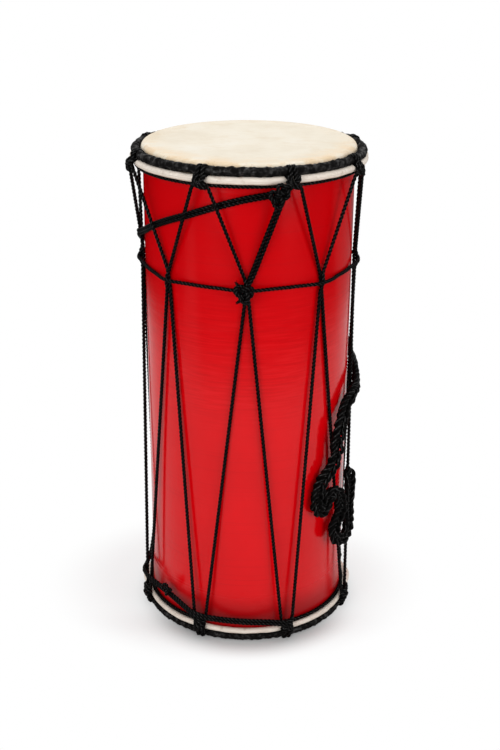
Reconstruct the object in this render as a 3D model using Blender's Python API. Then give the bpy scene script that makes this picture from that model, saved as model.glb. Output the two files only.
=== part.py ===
"""Straight two-headed drum: a lacquered tube with rawhide heads, wrapped crown rings and rope lacing.

The drum stands on its lower head. +Z runs up the drum's axis, and angles are measured round that axis
from the front, which faces -Y, towards +X. Sizes are in metres and angles in degrees.
"""
import math

import bmesh
import bpy
import numpy as np
from mathutils import Matrix, Quaternion, Vector

TOP = "top"
BOTTOM = "bottom"

# Driving dimensions
HEIGHT = 0.509              # from the lower playing face to the upper one
SHELL_RADIUS = 0.105
SHELL_WALL = 0.008
EDGE_RADIUS = 0.004         # rounding of the bearing edges that carry the skins
EDGE_BEVEL = 0.003          # bevel inside the bearing edges
SKIN = 0.0012
CLEARANCE = 0.0003          # left between pieces that touch
HOOP_ROD_RADIUS = 0.0019    # hoop that the skin is lapped round
HOOP_OUTSET = {TOP: 0.0023, BOTTOM: -0.0008}    # how far each hoop lies outside its crown ring
TUCK_RADIUS = 0.0032        # turn of the skin from the shell's side out to the hoop
RING_ROD_RADIUS = 0.0022
RING_WRAP = 0.0015          # thickness of the cloth wound on the crown ring
RING_WRAP_SLIT = 0.0008     # seam left between the edges of the cloth
ROPE_RADIUS = 0.002
CHAIN_RADIUS = 0.0055       # half the width of the chained spare rope
CHAIN_FLAT = 0.68           # thickness of the chained rope as a share of its width
GIRDLE_DEPTH = 0.119        # distance of the girdle below the upper playing face
GATHER_RISE = 0.009         # distance from the girdle at which two crossing legs are drawn together
HITCH_DROP = 0.0005         # how far the legs of a hitch draw in below the hoop
HITCH_HOOP_TURN = 12.0      # angle above the middle of the hoop at which its strands bend
BIGHT_SAG = 0.003           # how far the bight of a hitch sags over the hoop
HITCH_CLEARANCE = 0.0004    # room for the strands where they bend
SMALL_KNOT = 0.72           # size of the lower tie's knot beside the others

# Fineness of the shapes
TURN_STEPS = 32             # facets round a turned piece
EDGE_POINTS = 4             # points round a bearing edge
ROD_POINTS = 6              # points round a hoop or ring rod
KNOT_POINTS = 36
ROPE_STEP = 0.010           # distance between the points of a laid rope
CURVE_SAMPLES = 24          # samples between two points of a route
GIRDLE_POINTS = 64
LAY_SLOPE = 0.45            # steepest climb of a rope over what lies beneath it
CHAIN_SLOPE = 0.2           # climb of the stiffer chained rope
LAY_CHECKS = 5              # places between two points of a laid rope that are tested for room
NUDGE = 0.0001              # step by which a rope is moved outwards until it is clear
LOOK_ROUND = 12             # how many times the room that it needs a rope looks round for others

# Turn of a hitch strand round the crown ring: angle up from outwards, sideways share, share of rope radius
HITCH_TURNS = ((-20, 1.0, 1.0), (20, 1.0, 0.9), (58, 1.0, 0.6), (92, 1.0, 0.36), (126, 1.0, 0.3))
# The same where the strand is pinched in the nip between the ring, the skin and the hoop
HITCH_NIPPED = ((160, 1.05, 0.2), (194, 1.25, 0.2), (228, 1.6, 0.2), (262, 2.0, 0.2), (292, 2.4, 0.22))
NIP_EXIT_SHARE = 0.36       # share of rope radius where the strand leaves the nip
# Bight in front of the strands: shares sideways, of a rope's spacing inwards, of the sag and of rope radius
HITCH_BIGHT = ((1.0, 1.0, 0.0, 0.7), (0.72, 0.23, 0.6, 1.0), (0.0, 0.0, 1.0, 1.0))

# Angles of the hitches and gathers round the drum, as laced by hand
TOP_HITCHES = (-70.5, -22.0, 19.5, 60.5, 110.5, 155.5, 200.5, 247.5)
BOTTOM_HITCHES = (-71.0, -25.5, 22.0, 69.0, 113.5, 156.0, 202.5, 244.5)
GATHERS = (-45.5, -0.7, 40.3, 87.0, 133.0, 178.0, 223.0, 268.5)

# Start and end of the line under each hoop; the lower one is open at the front
BINDING_LINES = {TOP: (0.0, 360.0), BOTTOM: (27.0, 329.0)}

# Routes of the free ropes, chosen by hand: angle round the drum and distance below the upper playing face
STRAP_ROUTE = ((13.5, 0.0315), (-3, 0.0335), (-17.5, 0.0415), (-34, 0.053), (-48, 0.063), (-60, 0.0725),
               (-70, 0.081), (-92, 0.097), (-115, 0.122), (-137, 0.148), (-160, 0.170), (-182, 0.187),
               (-205, 0.201), (-227, 0.212), (-247, 0.220))
STRAP_UNDER_TO = -63.0      # the strap runs beneath the legs as far as this angle, and over them beyond it
CHAIN_ROUTE = ((110, 0.222), (104, 0.2265), (97, 0.234), (90, 0.243), (80, 0.2485), (71, 0.2525),
               (65, 0.256), (59.5, 0.2615), (55.5, 0.2695), (52.8, 0.2805), (51.7, 0.2955), (51.3, 0.3105),
               (49.2, 0.3225), (43.8, 0.3315), (39.3, 0.3415), (37.1, 0.3547), (38.5, 0.368),
               (42.9, 0.3728), (46.7, 0.368), (50.4, 0.3625), (55, 0.366), (58.3, 0.377), (57.8, 0.389),
               (54.6, 0.397), (54.2, 0.4075), (59, 0.4175), (66.2, 0.4197), (71.5, 0.4134), (74, 0.400),
               (75.3, 0.386), (76.7, 0.372), (78, 0.358), (79.5, 0.344))
GIRDLE_KNOT_ANGLE = -2.0
STRAP_KNOT = (14.0, 0.029)
GIRDLE_END = (0.17, 0.93)   # stretch of its neighbour leg that the girdle's spare end follows
# Route and knot of the lower tie: angle round the drum and height above the lower binding line
TIE_ROUTE = ((20.5, 0.0022), (8, 0.0022), (0, 0.0027), (-11, 0.0034), (-21, 0.0036), (-29, 0.0048),
             (-36, 0.0078), (-43, 0.0112), (-52, 0.0136), (-62, 0.0142), (-72, 0.0142), (-82, 0.015),
             (-90, 0.0185), (-96, 0.027), (-101, 0.039), (-106, 0.053))
TIE_KNOT = (-47.5, 0.0215)

# Derived sizes
SKIN_INSIDE = SHELL_RADIUS + CLEARANCE
SKIN_OUTSIDE = SKIN_INSIDE + SKIN
ROLL_RADIUS = HOOP_ROD_RADIUS + CLEARANCE + SKIN
ROLL_MIDDLE = ROLL_RADIUS - SKIN / 2
NIP = 0.65 * ROPE_RADIUS    # room for a pinched rope beside the crown ring
NIP_EXIT = 1.4 * NIP        # distance at which it comes out beyond the ring and hoop
RING_TUBE = RING_ROD_RADIUS + CLEARANCE + RING_WRAP
RING_RADIUS = SKIN_OUTSIDE + NIP + RING_TUBE
RING_DEPTH = RING_TUBE + HITCH_CLEARANCE + 0.8 * ROPE_RADIUS
RING_TO_HOOP = RING_TUBE + ROLL_RADIUS + NIP
HOOP_RADIUS = {end: RING_RADIUS + outset for end, outset in HOOP_OUTSET.items()}
HOOP_DEPTH = {end: RING_DEPTH + math.sqrt(RING_TO_HOOP ** 2 - (radius - RING_RADIUS) ** 2)
              for end, radius in HOOP_RADIUS.items()}
WEB_DEPTH = {end: depth + ROLL_MIDDLE for end, depth in HOOP_DEPTH.items()}
LINE_DEPTH = {end: depth + SKIN / 2 + CLEARANCE + ROPE_RADIUS for end, depth in WEB_DEPTH.items()}
FACET_SAG = SHELL_RADIUS * (1 - math.cos(ROPE_STEP / 2 / SHELL_RADIUS))
LEG_RADIUS = SHELL_RADIUS + CLEARANCE + ROPE_RADIUS + FACET_SAG
ROPE_SPACING = 2 * ROPE_RADIUS + CLEARANCE
GIRDLE_HEIGHT = HEIGHT - GIRDLE_DEPTH
GATHER_SPREAD = 0.75 * ROPE_RADIUS      # half the distance between two legs where they are drawn together
HITCH_SPREAD = 4 * ROPE_RADIUS          # half the distance between the legs of a hitch, under the hoop
HITCH_STRAND = ROPE_RADIUS + CLEARANCE  # half the distance between its strands on the hoop and ring
BIGHT_SPREAD = 3.65 * ROPE_RADIUS       # half the width of the bight that holds the strands
KNOT_ROPE_RADIUS = 0.725 * ROPE_RADIUS  # rope drawn thin in the small knots
KNOT_SCALE = 1.97 * KNOT_ROPE_RADIUS


def clear_scene():
    for obj in list(bpy.data.objects):
        bpy.data.objects.remove(obj, do_unlink=True)


def make_material(name, color, roughness, metallic=0.0):
    material = bpy.data.materials.new(name)
    material.use_nodes = True
    shader = material.node_tree.nodes["Principled BSDF"]
    shader.inputs["Base Color"].default_value = (*color, 1.0)
    shader.inputs["Roughness"].default_value = roughness
    shader.inputs["Metallic"].default_value = metallic
    return material


def place(angle, radius, height):
    """Point at an angle round the drum, in degrees, a distance from its axis and a height."""
    turn = math.radians(angle)
    return Vector((radius * math.sin(turn), -radius * math.cos(turn), height))


def facet_share(angle):
    """Share of a turned piece's radius that its facets leave at an angle; its corners start at the side."""
    facet = 360 / TURN_STEPS
    from_middle = (angle - 90) % facet - facet / 2
    return math.cos(math.radians(facet / 2)) / math.cos(math.radians(from_middle))


def end_height(end, depth):
    """Height of a point that lies at a depth behind the playing face of one end."""
    return HEIGHT - depth if end == TOP else depth


def arc(center, radius, start, stop, count):
    """Points on an arc in the (radius, depth) plane: 0 degrees points outwards, 90 points deeper."""
    points = []
    for index in range(count):
        turn = math.radians(start + (stop - start) * index / (count - 1))
        points.append((center[0] + radius * math.cos(turn), center[1] + radius * math.sin(turn)))
    return points


def turned(name, outline, material):
    """Closed solid made by turning a closed outline of (radius, height) points round the Z axis."""
    mesh = bpy.data.meshes.new(name)
    form = bmesh.new()
    verts = [form.verts.new((radius, 0.0, height)) for radius, height in outline]
    edges = [form.edges.new((verts[index - 1], verts[index])) for index in range(len(verts))]
    bmesh.ops.spin(form, geom=verts + edges, cent=(0, 0, 0), axis=(0, 0, 1),
                   angle=2 * math.pi, steps=TURN_STEPS)
    bmesh.ops.remove_doubles(form, verts=form.verts, dist=1e-6)
    on_axis = [edge for edge in form.edges if not edge.link_faces or
               all(math.hypot(vert.co.x, vert.co.y) < 1e-7 for vert in edge.verts)]
    bmesh.ops.delete(form, geom=on_axis, context="EDGES")
    bmesh.ops.recalc_face_normals(form, faces=form.faces)
    form.to_mesh(mesh)
    form.free()
    mesh.shade_smooth()
    mesh.set_sharp_from_angle(angle=math.radians(40))
    obj = bpy.data.objects.new(name, mesh)
    obj.data.materials.append(material)
    bpy.context.collection.objects.link(obj)
    return obj


def at_end(end, outline):
    """Outline in radius and height, from one in radius and depth behind a playing face."""
    return [(radius, end_height(end, depth)) for radius, depth in outline]


def thickened(line, thickness):
    """Closed outline of a band of even thickness that follows an open line."""
    sides = ([], [])
    for index, point in enumerate(line):
        before = line[max(index - 1, 0)]
        after = line[min(index + 1, len(line) - 1)]
        along = Vector((after[0] - before[0], after[1] - before[1])).normalized()
        for side, sign in zip(sides, (0.5, -0.5)):
            side.append((point[0] - along.y * thickness * sign, point[1] + along.x * thickness * sign))
    return sides[0] + sides[1][::-1]


def rope(name, points, radius, material, closed=False, pinch=None, sides=6, flat=None):
    """Round rope along a list of points, with an optional share of its radius at each of them.

    The section is carried along the rope without turning about it, so long straight runs stay round.
    A flat rope lies with its broad side to the drum, and flat is its thickness as a share of its width.
    """
    count = len(points)
    ahead = [points[(index + 1) % count] for index in range(count)]
    behind = [points[index - 1] for index in range(count)]
    if not closed:
        ahead[-1] = points[-1]
        behind[0] = points[0]
    along = [(after - before).normalized() for after, before in zip(ahead, behind)]
    across = [along[0].orthogonal().normalized()]
    for before, after in zip(along, along[1:] + along[:1]):
        carried = across[-1].copy()
        carried.rotate(before.rotation_difference(after))
        across.append(carried)
    runs = np.cumsum([0.0] + [(after - point).length for after, point in zip(ahead, points)])
    slip = across[-1].cross(across[0]).dot(along[0])
    turn_back = math.atan2(slip, across[-1].dot(across[0])) if closed else 0.0

    form = bmesh.new()
    rings = []
    for index, point in enumerate(points):
        start = across[index].copy()
        start.rotate(Quaternion(along[index], turn_back * runs[index] / runs[-1]))
        reach = radius * (pinch[index] if pinch else 1.0)
        if flat:
            start = Vector((point.x, point.y, 0))
            start = (start - start.project(along[index])).normalized()
        beside = along[index].cross(start)
        ring = []
        for side in range(sides):
            turn = 2 * math.pi * side / sides
            spoke = start * math.cos(turn) * (flat or 1.0) + beside * math.sin(turn)
            ring.append(form.verts.new(point + reach * spoke))
        rings.append(ring)
    for index in range(count if closed else count - 1):
        here = rings[index]
        there = rings[(index + 1) % count]
        for side in range(sides):
            form.faces.new((here[side - 1], here[side], there[side], there[side - 1]))
    if not closed:
        form.faces.new(rings[0][::-1])
        form.faces.new(rings[-1])
    bmesh.ops.recalc_face_normals(form, faces=form.faces)
    mesh = bpy.data.meshes.new(name)
    form.to_mesh(mesh)
    form.free()
    mesh.shade_smooth()
    obj = bpy.data.objects.new(name, mesh)
    obj.data.materials.append(material)
    bpy.context.collection.objects.link(obj)
    return obj


def dense(points, closed=False, step=0.001):
    """Even samples along straight runs between points, as an array."""
    loop = list(points) + ([points[0]] if closed else [])
    samples = []
    for start, stop in zip(loop, loop[1:]):
        count = max(1, int((stop - start).length / step))
        samples += [start.lerp(stop, index / count) for index in range(count)]
    samples.append(loop[-1])
    return np.array(samples)


def smooth(route, step):
    """Even (angle, height) samples on a smooth curve through a route's points."""
    knots = [Vector((math.radians(angle) * SHELL_RADIUS, height)) for angle, height in route]
    knots = [2 * knots[0] - knots[1]] + knots + [2 * knots[-1] - knots[-2]]
    fine = []
    for before, start, stop, after in zip(knots, knots[1:], knots[2:], knots[3:]):
        for share in np.arange(CURVE_SAMPLES) / CURVE_SAMPLES:
            fine.append(0.5 * (2 * start + (stop - before) * share
                               + (2 * before - 5 * start + 4 * stop - after) * share ** 2
                               + (3 * start - before - 3 * stop + after) * share ** 3))
    fine.append(knots[-2])
    lengths = np.concatenate([[0], np.cumsum([(b - a).length for a, b in zip(fine, fine[1:])])])
    count = max(2, round(lengths[-1] / step) + 1)
    even = np.linspace(0, lengths[-1], count)
    angles = np.degrees(np.interp(even, lengths, [point.x for point in fine]) / SHELL_RADIUS)
    heights = np.interp(even, lengths, [point.y for point in fine])
    return list(zip(angles, heights))


def at_height(route):
    """Route in heights, from one in distances below the upper playing face."""
    return [(angle, end_height(TOP, depth)) for angle, depth in route]


def lowest_clear(angle, height, floor, room, beneath):
    """Least distance from the axis, not under floor, at which a point clears the ropes beneath it."""
    around = np.linalg.norm(beneath - np.array(place(angle, floor, height)), axis=1)
    near = beneath[around < LOOK_ROUND * room]
    radius = floor
    while len(near) and np.linalg.norm(near - np.array(place(angle, radius, height)), axis=1).min() < room:
        radius += NUDGE
    return radius


def lay(track, radius, beneath, slope=LAY_SLOPE, edge=0.0, buried=lambda angle: False):
    """Lay a rope on the shell along (angle, height) samples, climbing over the ropes beneath it.

    Edge is the distance from the middle of a flat rope to the middle of its round edges.
    Where the rope is buried, it stays on the shell and the ropes beneath run over it instead.
    """
    floor = SHELL_RADIUS + CLEARANCE + radius + FACET_SAG
    room = radius + ROPE_RADIUS + CLEARANCE
    least = np.full(len(track), floor)
    for line in [track] if not edge else [track, offset_track(track, edge), offset_track(track, -edge)]:
        for index, (start, stop) in enumerate(zip(line, line[1:])):
            for share in np.linspace(0, 1, LAY_CHECKS + 1):
                spot = np.array(start) * (1 - share) + np.array(stop) * share
                if buried(spot[0]):
                    continue
                clear = lowest_clear(*spot, floor, room, beneath)
                least[index:index + 2] = np.maximum(least[index:index + 2], clear)
    flat = [place(angle, floor, height) for angle, height in track]
    run = np.concatenate([[0], np.cumsum([(b - a).length for a, b in zip(flat, flat[1:])])])
    taut = (least[None, :] - slope * np.abs(run[:, None] - run[None, :])).max(axis=1)
    reaches = [floor if buried(angle) else reach for (angle, height), reach in zip(track, taut)]
    return [place(angle, reach, height) for (angle, height), reach in zip(track, reaches)]


def offset_track(track, offset):
    """Samples moved sideways from an (angle, height) track."""
    moved = []
    for index, (angle, height) in enumerate(track):
        before = track[max(index - 1, 0)]
        after = track[min(index + 1, len(track) - 1)]
        around = math.radians(after[0] - before[0]) * SHELL_RADIUS
        along = Vector((around, after[1] - before[1])).normalized()
        moved.append((angle - math.degrees(along.y * offset / SHELL_RADIUS), height + along.x * offset))
    return moved


def doubled(track):
    """Track of a rope that runs out along one side of a track, turns and comes back along the other."""
    out = offset_track(track, ROPE_SPACING / 2)
    back = offset_track(track, -ROPE_SPACING / 2)
    stretch = math.degrees(1 / SHELL_RADIUS)
    last = Vector((track[-1][0] / stretch, track[-1][1]))
    ahead = (last - Vector((track[-2][0] / stretch, track[-2][1]))).normalized() * ROPE_SPACING / 2
    tip = (track[-1][0] + ahead.x * stretch, track[-1][1] + ahead.y)
    return out + [tip] + back[::-1]


def knot(name, spot, beneath, material, share=1.0):
    """Overhand knot drawn tight, seated on the ropes beneath it at an (angle, height) spot."""
    angle, height = spot
    scale = share * KNOT_SCALE
    radius = share * KNOT_ROPE_RADIUS
    outward = place(angle, 1.0, 0.0)
    along = place(angle + 90, 1.0, 0.0)
    upward = Vector((0, 0, 1))
    form = []
    for index in range(KNOT_POINTS):
        turn = 2 * math.pi * index / KNOT_POINTS
        form.append(scale * (along * (math.sin(turn) + 2 * math.sin(2 * turn))
                             + upward * (math.cos(turn) - 2 * math.cos(2 * turn))
                             - outward * math.sin(3 * turn)))
    room = radius + ROPE_RADIUS + CLEARANCE
    outline = dense(form, closed=True)
    reach = SHELL_RADIUS + scale + radius + CLEARANCE
    around = np.linalg.norm(beneath - np.array(place(angle, reach, height)), axis=1)
    near = beneath[around < LOOK_ROUND * room]
    while True:
        moved = outline + np.array(place(angle, reach, height))
        apart = np.linalg.norm(near[:, None, :] - moved[None, :, :], axis=2).min()
        if apart >= room:
            break
        reach += NUDGE
    points = [place(angle, reach, height) + point for point in form]
    print_self_gap(name, points, radius, closed=True)
    return rope(name, points, radius, material, closed=True)


def print_self_gap(name, points, radius, closed=False):
    """Measure and print the least gap between stretches of one rope that aren't neighbours."""
    samples = dense(points, closed)
    run = np.concatenate([[0], np.cumsum(np.linalg.norm(np.diff(samples, axis=0), axis=1))])
    apart = np.linalg.norm(samples[:, None, :] - samples[None, :, :], axis=2)
    along = np.abs(run[:, None] - run[None, :])
    if closed:
        along = np.minimum(along, run[-1] - along)
    gap = apart[along > 3 * math.pi * radius].min() - 2 * radius
    print(f"{name}: least gap to itself {gap * 1000:.2f} mm")


def build_shell(material):
    """Tube with rounded bearing edges outside and a bevel inside."""
    rim = SKIN + CLEARANCE
    inner = SHELL_RADIUS - SHELL_WALL
    edge = arc((SHELL_RADIUS - EDGE_RADIUS, rim + EDGE_RADIUS), EDGE_RADIUS, 270, 360, EDGE_POINTS)
    half = [(inner, rim + EDGE_BEVEL), (inner + EDGE_BEVEL / 2, rim)] + edge
    return turned("shell", at_end(TOP, half) + at_end(BOTTOM, half)[::-1], material)


def binding_line(end):
    """Points of the line under the hoop of one end."""
    first, last = BINDING_LINES[end]
    facets = round((last - first) * TURN_STEPS / 360)
    reach = HOOP_RADIUS[end] - ROPE_RADIUS
    level = end_height(end, LINE_DEPTH[end])
    return [place(angle, reach, level) for angle in np.linspace(first, last, facets + 1)]


def build_head(end, materials):
    """Skin lapped round its hoop, the hoop itself, the crown ring and the cloth wound on it."""
    rim = SKIN + CLEARANCE
    middle = SKIN_INSIDE + SKIN / 2
    shoulder = EDGE_RADIUS + CLEARANCE + SKIN / 2
    line = [(0.0, SKIN / 2)]
    line += arc((SHELL_RADIUS - EDGE_RADIUS, rim + EDGE_RADIUS), shoulder, 270, 360, EDGE_POINTS)
    line += arc((middle + TUCK_RADIUS, WEB_DEPTH[end] - TUCK_RADIUS), TUCK_RADIUS, 180, 90, 3)
    hoop = (HOOP_RADIUS[end], HOOP_DEPTH[end])
    line += arc(hoop, ROLL_MIDDLE, 90, -150, 7)
    skin = thickened(line, SKIN)
    turned(f"{end}_head_skin", at_end(end, skin), materials["rawhide"])
    rod = arc(hoop, HOOP_ROD_RADIUS, 0, 360 - 360 / ROD_POINTS, ROD_POINTS)
    turned(f"{end}_flesh_hoop", at_end(end, rod), materials["steel"])
    center = (RING_RADIUS, RING_DEPTH)
    ring = arc(center, RING_ROD_RADIUS, 0, 360 - 360 / ROD_POINTS, ROD_POINTS)
    turned(f"{end}_crown_ring", at_end(end, ring), materials["steel"])
    seam = math.degrees(RING_WRAP_SLIT / RING_ROD_RADIUS)
    outer = arc(center, RING_TUBE, 150 + seam, 510 - seam, 9)
    inner = arc(center, RING_TUBE - RING_WRAP, 510 - seam, 150 + seam, 7)
    turned(f"{end}_ring_wrap", at_end(end, outer + inner), materials["cloth"])
    line = binding_line(end)
    whole = BINDING_LINES[end][1] - BINDING_LINES[end][0] == 360
    rope(f"{end}_binding_line", line[:-1] if whole else line, ROPE_RADIUS, materials["rope"], closed=whole)


def hitch_half(end):
    """One strand of a cow hitch from its leg to the bight: sideways, radius, depth, share of rope radius."""
    strand = HITCH_STRAND
    hoop = HOOP_RADIUS[end]
    depth = HOOP_DEPTH[end]
    off_hoop = ROLL_RADIUS + HITCH_CLEARANCE + ROPE_RADIUS
    off_ring = RING_TUBE + HITCH_CLEARANCE
    turn = math.radians(HITCH_HOOP_TURN)
    points = [(HITCH_SPREAD, hoop + off_hoop - HITCH_DROP, depth + off_hoop, 1.0),
              (strand, hoop + off_hoop * math.cos(turn), depth - off_hoop * math.sin(turn), 1.0)]
    turns = [(*spot, off_ring + ROPE_RADIUS * spot[2]) for spot in HITCH_TURNS]
    turns += [(*spot, RING_TUBE + NIP / 2) for spot in HITCH_NIPPED]
    for degrees, sideways, share, reach in turns:
        turn = math.radians(degrees)
        points.append((sideways * strand, RING_RADIUS + reach * math.cos(turn),
                       RING_DEPTH - reach * math.sin(turn), share))
    middle = (RING_RADIUS + hoop) / 2
    level = (RING_DEPTH + depth) / 2
    tilt = (RING_RADIUS - hoop) / RING_TO_HOOP
    points.append((BIGHT_SPREAD, middle + NIP_EXIT, level + tilt * NIP_EXIT, NIP_EXIT_SHARE))
    front = max(hoop + off_hoop, RING_RADIUS + off_ring + ROPE_RADIUS) + ROPE_SPACING
    for sideways, inwards, sag, share in HITCH_BIGHT:
        points.append((sideways * BIGHT_SPREAD, front - inwards * ROPE_SPACING,
                       level + tilt * ROPE_SPACING + sag * BIGHT_SAG, share))
    return points


def hitch(end, angle):
    """Cow hitch round the crown ring of one end, from the left leg to the right one."""
    half = hitch_half(end)
    left = [(-sideways, *rest) for sideways, *rest in half]
    points = []
    shares = []
    for sideways, radius, depth, share in left + half[-2::-1]:
        turn = angle + math.degrees(sideways / radius)
        points.append(place(turn, radius * facet_share(turn), end_height(end, depth)))
        shares.append(share)
    return points, shares


def ride_over(start, stop, beneath):
    """Points that lift a taut leg off the ropes that it crosses."""
    count = max(8, int((stop - start).length / ROPE_RADIUS))
    points = [start.lerp(stop, share) for share in np.linspace(0, 1, count + 1)[1:-1]]
    gaps = [np.linalg.norm(beneath - np.array(point), axis=1).min() for point in points]
    worst = int(np.argmin(gaps))
    if gaps[worst] >= ROPE_SPACING:
        return []
    lifted = points[worst]
    outward = Vector((lifted.x, lifted.y, 0)).normalized()
    while np.linalg.norm(beneath - np.array(lifted), axis=1).min() < ROPE_SPACING + CLEARANCE:
        lifted = lifted + outward * NUDGE
    return ride_over(start, lifted, beneath) + [lifted] + ride_over(lifted, stop, beneath)


def gather_bend(index, side, beneath):
    """Point where a leg is drawn in beside the one that it crosses; side is across and up, each -1 or 1."""
    angle = GATHERS[index] + side[0] * math.degrees(GATHER_SPREAD / LEG_RADIUS)
    height = GIRDLE_HEIGHT + side[1] * GATHER_RISE
    return place(angle, lowest_clear(angle, height, LEG_RADIUS, ROPE_SPACING + CLEARANCE, beneath), height)


def lacing(first, beneath):
    """Closed path of one round of the lacing, zigzagging between every other hitch of the two ends."""
    count = len(TOP_HITCHES)
    ends = [TOP if step % 2 == 0 else BOTTOM for step in range(count)]
    hitches = []
    for step, end in enumerate(ends):
        angles = TOP_HITCHES if end == TOP else BOTTOM_HITCHES
        hitches.append(hitch(end, angles[(first + step) % count]))
    points = []
    pinch = []
    for step, end in enumerate(ends):
        turn, turn_pinch = hitches[step]
        gather = (first + step) % count
        upright = 1 if end == TOP else -1
        near = gather_bend(gather, (-1, upright), beneath)
        far = gather_bend(gather, (1, -upright), beneath)
        stops = [turn[-1], near, far, hitches[(step + 1) % count][0][0]]
        leg = []
        for start, stop in zip(stops, stops[1:]):
            leg += ride_over(start, stop, beneath) + [stop]
        leg.pop()
        points += turn + leg
        pinch += turn_pinch + [1.0] * len(leg)
    return points, pinch


def girdle_end_points(beneath):
    """Spare end of the girdle, which climbs beside the right-hand leg of the front gather."""
    top = hitch(TOP, TOP_HITCHES[2])[0][0]
    bend = gather_bend(1, (1, 1), beneath)
    beside = Quaternion((0, 0, 1), (ROPE_SPACING + 2 * CLEARANCE) / LEG_RADIUS)
    return [beside @ top.lerp(bend, share) for share in GIRDLE_END]


def build_ropes(materials):
    """Lacing, girdle, strap, lower tie, knots and the chained spare end, laid in that order."""
    black = materials["rope"]
    strap = doubled(smooth(at_height(STRAP_ROUTE), ROPE_STEP))
    nothing = np.empty((0, 3))
    under = [spot for spot in strap if spot[0] > STRAP_UNDER_TO]
    upper = dense(lay(under[:len(under) // 2], ROPE_RADIUS, nothing))
    lower = dense(lay(under[len(under) // 2:], ROPE_RADIUS, nothing))
    strap_front = np.vstack([upper, lower])

    laced = strap_front
    for round_index in range(2):
        points, pinch = lacing(round_index, laced)
        rope(f"lacing_rope_{round_index + 1}", points, ROPE_RADIUS, black, closed=True, pinch=pinch)
        laced = np.vstack([laced, dense(points, closed=True)])
    laced = laced[len(strap_front):]

    between = (GATHERS[1] + GATHERS[2]) / 2
    ring = [(between + turn, GIRDLE_HEIGHT) for turn in np.linspace(0, 360, GIRDLE_POINTS + 1)]
    girdle = lay(ring, ROPE_RADIUS, laced)[:-1]
    rope("girdle_rope", girdle, ROPE_RADIUS, black, closed=True)
    laced = np.vstack([laced, dense(girdle, closed=True)])

    rising = girdle_end_points(strap_front)
    rope("girdle_spare_end", rising, ROPE_RADIUS, black)
    laced = np.vstack([laced, dense(rising)])

    strap_points = lay(strap, ROPE_RADIUS, laced, buried=lambda angle: angle > STRAP_UNDER_TO)
    rope("spare_strap", strap_points, ROPE_RADIUS, black)
    laced = np.vstack([laced, dense(strap_points)])

    tie_route = [(angle, LINE_DEPTH[BOTTOM] + above) for angle, above in TIE_ROUTE]
    tie = doubled(smooth(tie_route, ROPE_STEP))
    tie_points = lay(tie, ROPE_RADIUS, laced)
    rope("lower_tie", tie_points, ROPE_RADIUS, black)
    laced = np.vstack([laced, dense(tie_points)])

    laced = np.vstack([laced] + [dense(binding_line(end)) for end in (TOP, BOTTOM)])
    knot("girdle_knot", (GIRDLE_KNOT_ANGLE, GIRDLE_HEIGHT), laced, black)
    knot("strap_knot", at_height([STRAP_KNOT])[0], laced, black)
    tie_knot = (TIE_KNOT[0], LINE_DEPTH[BOTTOM] + TIE_KNOT[1])
    knot("lower_tie_knot", tie_knot, laced, black, SMALL_KNOT)

    half_thick = CHAIN_FLAT * CHAIN_RADIUS
    chain_track = smooth(at_height(CHAIN_ROUTE), 1.5 * CHAIN_RADIUS)
    chain = lay(chain_track, half_thick, laced, CHAIN_SLOPE, CHAIN_RADIUS - half_thick)
    print_self_gap("spare_chain", chain, CHAIN_RADIUS)
    tail = rope("spare_chain", chain, CHAIN_RADIUS, black, sides=8, flat=CHAIN_FLAT)
    inside = math.hypot(chain[0].x, chain[0].y) - half_thick
    hanger = place(CHAIN_ROUTE[0][0], inside, chain[0].z + CHAIN_RADIUS)
    tail.data.transform(Matrix.Translation(-hanger))
    tail.location = hanger


def main():
    clear_scene()
    materials = {
        "lacquer": make_material("red_lacquer", (0.62, 0.004, 0.008), 0.18),
        "rawhide": make_material("rawhide", (0.87, 0.80, 0.68), 0.6),
        "steel": make_material("ring_steel", (0.45, 0.45, 0.46), 0.4, 1.0),
        "cloth": make_material("black_cloth", (0.014, 0.012, 0.012), 0.85),
        "rope": make_material("black_rope", (0.012, 0.010, 0.010), 0.7),
    }
    build_shell(materials["lacquer"])
    for end in (TOP, BOTTOM):
        build_head(end, materials)
    build_ropes(materials)


main()
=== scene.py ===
"""Finished look of a straight two-headed drum: red lacquer, rawhide heads and black rope lacing.

Sizes are in metres and angles in degrees, measured round the drum's axis from the front, which faces -Y,
towards +X. Ropes follow nearly the same routes as the drum's solids.
"""
import math

import bpy
import numpy as np
from mathutils import Matrix, Quaternion, Vector


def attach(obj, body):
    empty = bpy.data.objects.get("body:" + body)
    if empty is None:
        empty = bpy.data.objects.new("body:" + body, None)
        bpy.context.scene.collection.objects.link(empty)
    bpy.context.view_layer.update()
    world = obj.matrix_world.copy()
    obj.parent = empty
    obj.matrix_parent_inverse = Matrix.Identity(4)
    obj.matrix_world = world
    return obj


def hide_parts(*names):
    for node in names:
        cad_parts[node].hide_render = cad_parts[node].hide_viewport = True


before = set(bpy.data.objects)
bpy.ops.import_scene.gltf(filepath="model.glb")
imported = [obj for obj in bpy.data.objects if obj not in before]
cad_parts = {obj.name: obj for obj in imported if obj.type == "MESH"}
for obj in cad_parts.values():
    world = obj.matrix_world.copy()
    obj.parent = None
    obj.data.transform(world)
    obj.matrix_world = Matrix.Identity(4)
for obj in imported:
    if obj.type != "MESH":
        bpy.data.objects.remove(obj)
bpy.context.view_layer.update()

TOP = "top"
BOTTOM = "bottom"
DRUM = "drum"
TAIL = "spare_tail"

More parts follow.
